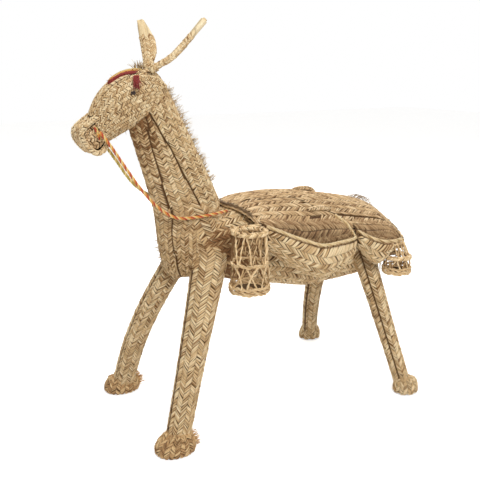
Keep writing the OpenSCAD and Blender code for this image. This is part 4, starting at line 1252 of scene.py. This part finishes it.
def mouth(u, v):
    """The edges over the front pockets, which lie in shade."""
    return (np.abs(v - 0.5) > 0.45) & (u > 0.05) & (u < 0.17)


def open_part(u, v):
    """The rest of the cloth."""
    return ~slit(u, v) & ~mouth(u, v)


look = {"slant": 2.9, "parts": parts, "swell": 2.0, "sink": 1.0}
# Painted shade: the mouth edges and the sunk slit are woven in the shaded grass, the slit in its
# darkest tints
deep = look | {"lift": -2.4, "tint": (-0.9, -0.7)}
layers = [weave(cover, 24, 5.6, brown_plait, keep=open_part, tint=(-0.25, 0.85), **look)]
layers.append(weave(cover, 24, 5.6, shaded_plait, keep=mouth, **look))
layers.append(weave(cover, 24, 5.6, shaded_plait, keep=slit, **deep))
lip_u, lip_v = np.linspace((0.345, 0.37), (0.50, 0.35), 14).T
for side in (-1, 1):
    lip, out = cover.at(lip_u * cover.length, 0.5 + side * lip_v)
    layers += roll(lip + out * 0.002, [0.002, 0.0046, 0.0046, 0.002], 4, 4.6, brown_plait)
for line in (cover.full[0], cover.full[-1]):
    layers.append(rope(line, HEM_D, 2, brown_plait, lay=0.02, tint=(0.2, 0.9)))
lower_hem = cover.full[0] - cover.normal[0] * 0.0044
layers.append(rope(lower_hem, HEM_D, 2, holder_grass, lay=0.02, tint=(0.6, 1)))
cover_plait = piece("cover_plait", layers, "pannier", "pannier_plait", "saddle_cover")

# %% Pocket shapes
WALL = 2.5
STATIONS = 30


def pocket_form(node, side):
    """Stations of a pocket: x, middle y and z, half width and height, and depth."""
    spots = np.array([v.co[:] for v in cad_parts[node].data.vertices]) / MM
    spots[:, 1] *= side
    rows = []
    for x in np.unique(spots[:, 0].round(1)):
        ring = spots[np.abs(spots[:, 0] - x) < 0.1]
        rim, edge = ring[ring[:, 1].argmax()], ring[ring[:, 1].argmin()]
        low = ring[:, 2].min() + WALL
        half_y, half_z = (rim[1] - edge[1]) / 2 - WALL, (rim[2] - edge[2]) / 2
        mid_y, mid_z = (rim[1] + edge[1]) / 2, (rim[2] + edge[2]) / 2
        rows.append((x, mid_y, mid_z, half_y, half_z, mid_z - low))
    rows = np.array(rows)
    return between(np.linspace(rows[0, 0], rows[-1, 0], STATIONS), rows[:, 0], rows)


def pocket_wall(form, side, thick, inward=False):
    """One face of a pocket's wall, from the rim, under, to the cloth's edge."""
    q = np.linspace(0, math.pi, 25)
    p, r = np.cos(q), np.sin(q)
    x, mid_y, mid_z, half_y, half_z, sag = (form[:, k : k + 1] for k in range(6))
    y = mid_y + (half_y + thick) * np.sign(p) * np.abs(p) ** 0.8
    z = mid_z + half_z * p - (sag + thick) * np.abs(r) ** 0.8
    grid = np.stack([np.broadcast_to(x, y.shape), side * y, z], axis=2) * MM
    core = np.concatenate([x, side * mid_y, mid_z], axis=1) * MM
    return Skin(smooth(grid, 1, False), core, False, inward)


print("a pocket is drawn from", STATIONS, "stations")

# %% Pockets
front_x = cover_front(SEWN_Y)
pocket_rims = {}
for name, side in (
    ("front_left", -1), ("front_right", 1), ("rear_left", -1), ("rear_right", 1),
):
    form = pocket_form(name + "_pocket", side)
    outside, inside = pocket_wall(form, side, WALL), pocket_wall(form, side, -WALL, True)
    tall = 11 if name.startswith("front") else 8
    layers = [
        lining(outside, 1.8, thick=1.4),
        weave(outside, tall, 6.0, plait, sector=(0.0, 0.72), slant=2.1),
        # Painted shade: the inside of the wall is woven in the shaded grass
        weave(inside, tall - 1, 6.0, shaded_plait, sector=(0.40, 1.0), lift=-1.2, slant=2.1),
    ]
    share = (form[:, 0] - front_x) / (COVER_REAR - front_x)
    reach = np.interp(share, runs, cover.along)
    edge = [cover.at(reach, np.full(STATIONS, 0.5 + side * v))[0] for v in (0.44, 0.47, 0.5)]
    strip = np.stack(edge + [inside.full[:, -2], inside.full[:, -5], inside.full[:, -8]], axis=1)
    sewn = Skin(smooth(strip, 1, False), strip.mean(axis=1) - [0, 0, 0.05], False)
    # Painted shade: the strip that joins the cloth to the pocket is woven in the shaded grass
    layers.append(lining(sewn, 0.6, thick=1.2))
    layers.append(weave(sewn, 4, 5.6, shaded_plait, slant=2.6, tint=(0.5, 1)))
    piece(name + "_pocket_plait", layers, "pannier", "pannier_plait", name + "_pocket")
    x, mid_y, mid_z, half_y, half_z = form.T[:5]
    rim = np.stack([x, side * (mid_y + half_y), mid_z + half_z + 4.5], axis=1) * MM
    if name.startswith("front"):
        end_u, end_v = np.array([(0.55, 0.49), (0.53, 0.46), (0.50, 0.42)]).T
        spot, out = cover.at(end_u * cover.length, 0.5 + side * end_v)
        rim = np.concatenate([rim, spot + out * 0.002])
    pocket_rims[name] = rim
    cord = rope(rim, 0.0054, 3, cord_grass, lay=0.02, tint=(0.4, 1.0))
    piece(name + "_rim_cord", [cord], "pannier", "pale_cord", name + "_rim")

# %% [markdown]
# ## Bottle holders
# A holder is an open basket: a ring at the top, one halfway, stacked rings at the foot, and
# crossing pairs of strands between them. The front pair hangs on a cord and can swing. The rear
# pair is lashed to the rim of the pocket above it.

# %% Holder parts
LATTICE_CORD = {"lay": 0.016, "sides": 5}


def lattice(centre, r0, z0, r1, z1, lean, bays=8, pinch=1.2):
    """Routes of the crossing strands between two rings, in millimetres."""
    made = []
    for k in range(bays):
        for s in (-1, 1):
            a0 = 2 * math.pi * k / bays + s * pinch / r0
            a1 = 2 * math.pi * k / bays + s * (lean * math.pi / bays - pinch / r1)
            low = [centre[0] + r0 * math.cos(a0), centre[1] + r0 * math.sin(a0), centre[2] + z0]
            top = [centre[0] + r1 * math.cos(a1), centre[1] + r1 * math.sin(a1), centre[2] + z1]
            made.append(np.array([low, top]) * MM)
    return made


def coil(centre, radius, pitch):
    """A flat spiral, in millimetres."""
    turn = np.linspace(0.4, radius / pitch, int(radius / pitch * 30))
    angle = 2 * math.pi * turn
    flat = np.stack([np.cos(angle), np.sin(angle), 0 * angle], 1) * (turn * pitch)[:, None]
    return (np.array(centre) + flat) * MM


print("lattice and coil ready")


# %% A holder
def holder(name, body, centre, top_r, base_r, height, halfway, extras=()):
    """A holder and its woven base. The top ring is a folded plait, the foot is wavy cords."""
    x, y, z = centre
    foot = 7.4 - height
    spans = [(top_r, -2, base_r, foot, 1.0)]
    rings = [(base_r, foot, 0.0056, 0.0010), (base_r + 0.4, -height + 2.6, 0.0050, 0.0012),
             (base_r - 0.4, -height - 0.6, 0.0054, 0.0010)]
    if halfway:
        mid_r = (top_r + base_r) / 2
        rings.append((mid_r, halfway, 0.0056, 0.0014))
        spans = [(top_r, -2, mid_r, halfway, 1.0), (mid_r, halfway, base_r, foot, 1.8)]
    top_ring = ring_route((x * MM, y * MM, z * MM), top_r * MM, 0.0006)
    layers = roll(top_ring, 0.0036, 4, 5.4, holder_grass)
    for r, low, thick, wave in rings:
        route = ring_route((x * MM, y * MM, (z + low) * MM), r * MM, wave)
        layers.append(rope(route, thick, 2, holder_grass, lay=0.018))
    for span in spans:
        for route in lattice(centre, *span):
            bowed = np.stack([route[0], route.mean(axis=0) + rng.normal(0, 0.0018, 3), route[1]])
            thick = rng.uniform(0.0026, 0.0040)
            # Painted shade: strands on the side towards the body get darker tints
            shade = (-0.6, 0.1) if abs(route[:, 1].mean()) < abs(y) * MM else (0.1, 1)
            look = LATTICE_CORD | {"step": 0.003, "tint": shade}
            layers.append(rope(bowed, thick, 2, holder_grass, **look))
    layers += list(extras)
    piece(name + "_holder_cords", layers, body, "pale_cord", name + "_holder")
    # Painted shade: the coil at the foot of the basket is woven in the shaded grass
    base = strands([coil((x, y, z - height), base_r - 5.6, 4.0)], 0.0021, shaded_plait, 6)
    piece(name + "_base_coil", [base], body, "pannier_plait", name + "_base")


print("holders can be woven")

# %% Hang the holders
HANGER_Y, HANGER_Z, EYE_R = 76, 317.37, 4.9
FRONT_X, FRONT_Y = -60, 106.84
REAR_X, REAR_Y, REAR_Z, REAR_R = 233, 108, 239, 21
eye_turn = np.linspace(0, 2 * math.pi * 1.05, 26)
for side, word in ((-1, "left"), (1, "right")):
    eyes = []
    for x in (-72, -48):
        y = side * HANGER_Y + EYE_R * np.cos(eye_turn)
        loop = np.stack([np.full_like(y, x), y, HANGER_Z + EYE_R * np.sin(eye_turn)], 1)
        eyes.append(rope(loop * MM, 0.0036, 2, holder_grass))
    centre = (FRONT_X, side * FRONT_Y, HANGER_Z)
    holder(f"front_{word}", f"front_{word}_holder", centre, 24.5, 29.5, 89, -47, eyes)
    ties = []
    for x in (-13, 9):
        y = side * REAR_Y - side * math.sqrt(REAR_R**2 - x * x)
        tie = np.array([(REAR_X + x, y, 240), (REAR_X + x, y, 255)])
        ties.append(rope(tie * MM, 0.004, 2, holder_grass))
    rim = pocket_rims[f"rear_{word}"]
    for turn in np.radians([0, 25, 50, 75, 100, 125]):
        foot_y = side * (REAR_Y + REAR_R * math.sin(turn))
        foot = MM * np.array([REAR_X + REAR_R * math.cos(turn), foot_y, REAR_Z])
        for lean in (-7, 7):
            top = between(min(foot[0] + lean * MM, rim[-1, 0]), rim[:, 0], rim)
            ties.append(rope([foot, top], 0.003, 2, holder_grass, **LATTICE_CORD))
    holder(f"rear_{word}", "pannier", (REAR_X, side * REAR_Y, REAR_Z), REAR_R, 23, 26, 0, ties)
    hanger = np.array([(x, side * HANGER_Y, HANGER_Z) for x in (-76, -22)]) * MM
    cord = rope(hanger, 0.005, 2, holder_grass)
    piece(f"front_{word}_hanger_cord", [cord], "pannier", "pale_cord", f"front_{word}_hanger")

# %% Carry loop and loose ends
arch = np.array([
    (109 - 24 * math.cos(a), 0, 342.6 + 8.5 * math.sin(a) - 3.6 * math.sin(a / 2 - 0.8))
    for a in np.linspace(0, math.pi, 25)
]) * MM
layers = roll(arch, 0.0034, 4, 5.4, brown_plait)
piece("carry_loop_cord", layers, "pannier", "pale_cord", "carry_loop")
FRAY, BUSH = 90, 26
fray = cover.at(np.full(FRAY, cover.length * 0.985), rng.uniform(0.02, 0.98, FRAY))[0]
bush = cover.at(rng.uniform(0.80, 0.90, BUSH) * cover.length, rng.uniform(0.50, 0.72, BUSH))[0]
layers = [
    tuft(fray, (1, 0, -0.1), FRAY, 0.011, 0.0005, 0.3, fibre_grass, 4, 0.1, (0, 0.8)),
    tuft(bush, (0.75, -0.15, 0.8), BUSH, 0.066, 0.00045, 0.13, fibre_grass, 8, 1.25, (0, 0.3)),
]
piece("pannier_wisps", layers, "pannier", "loose_fibre")
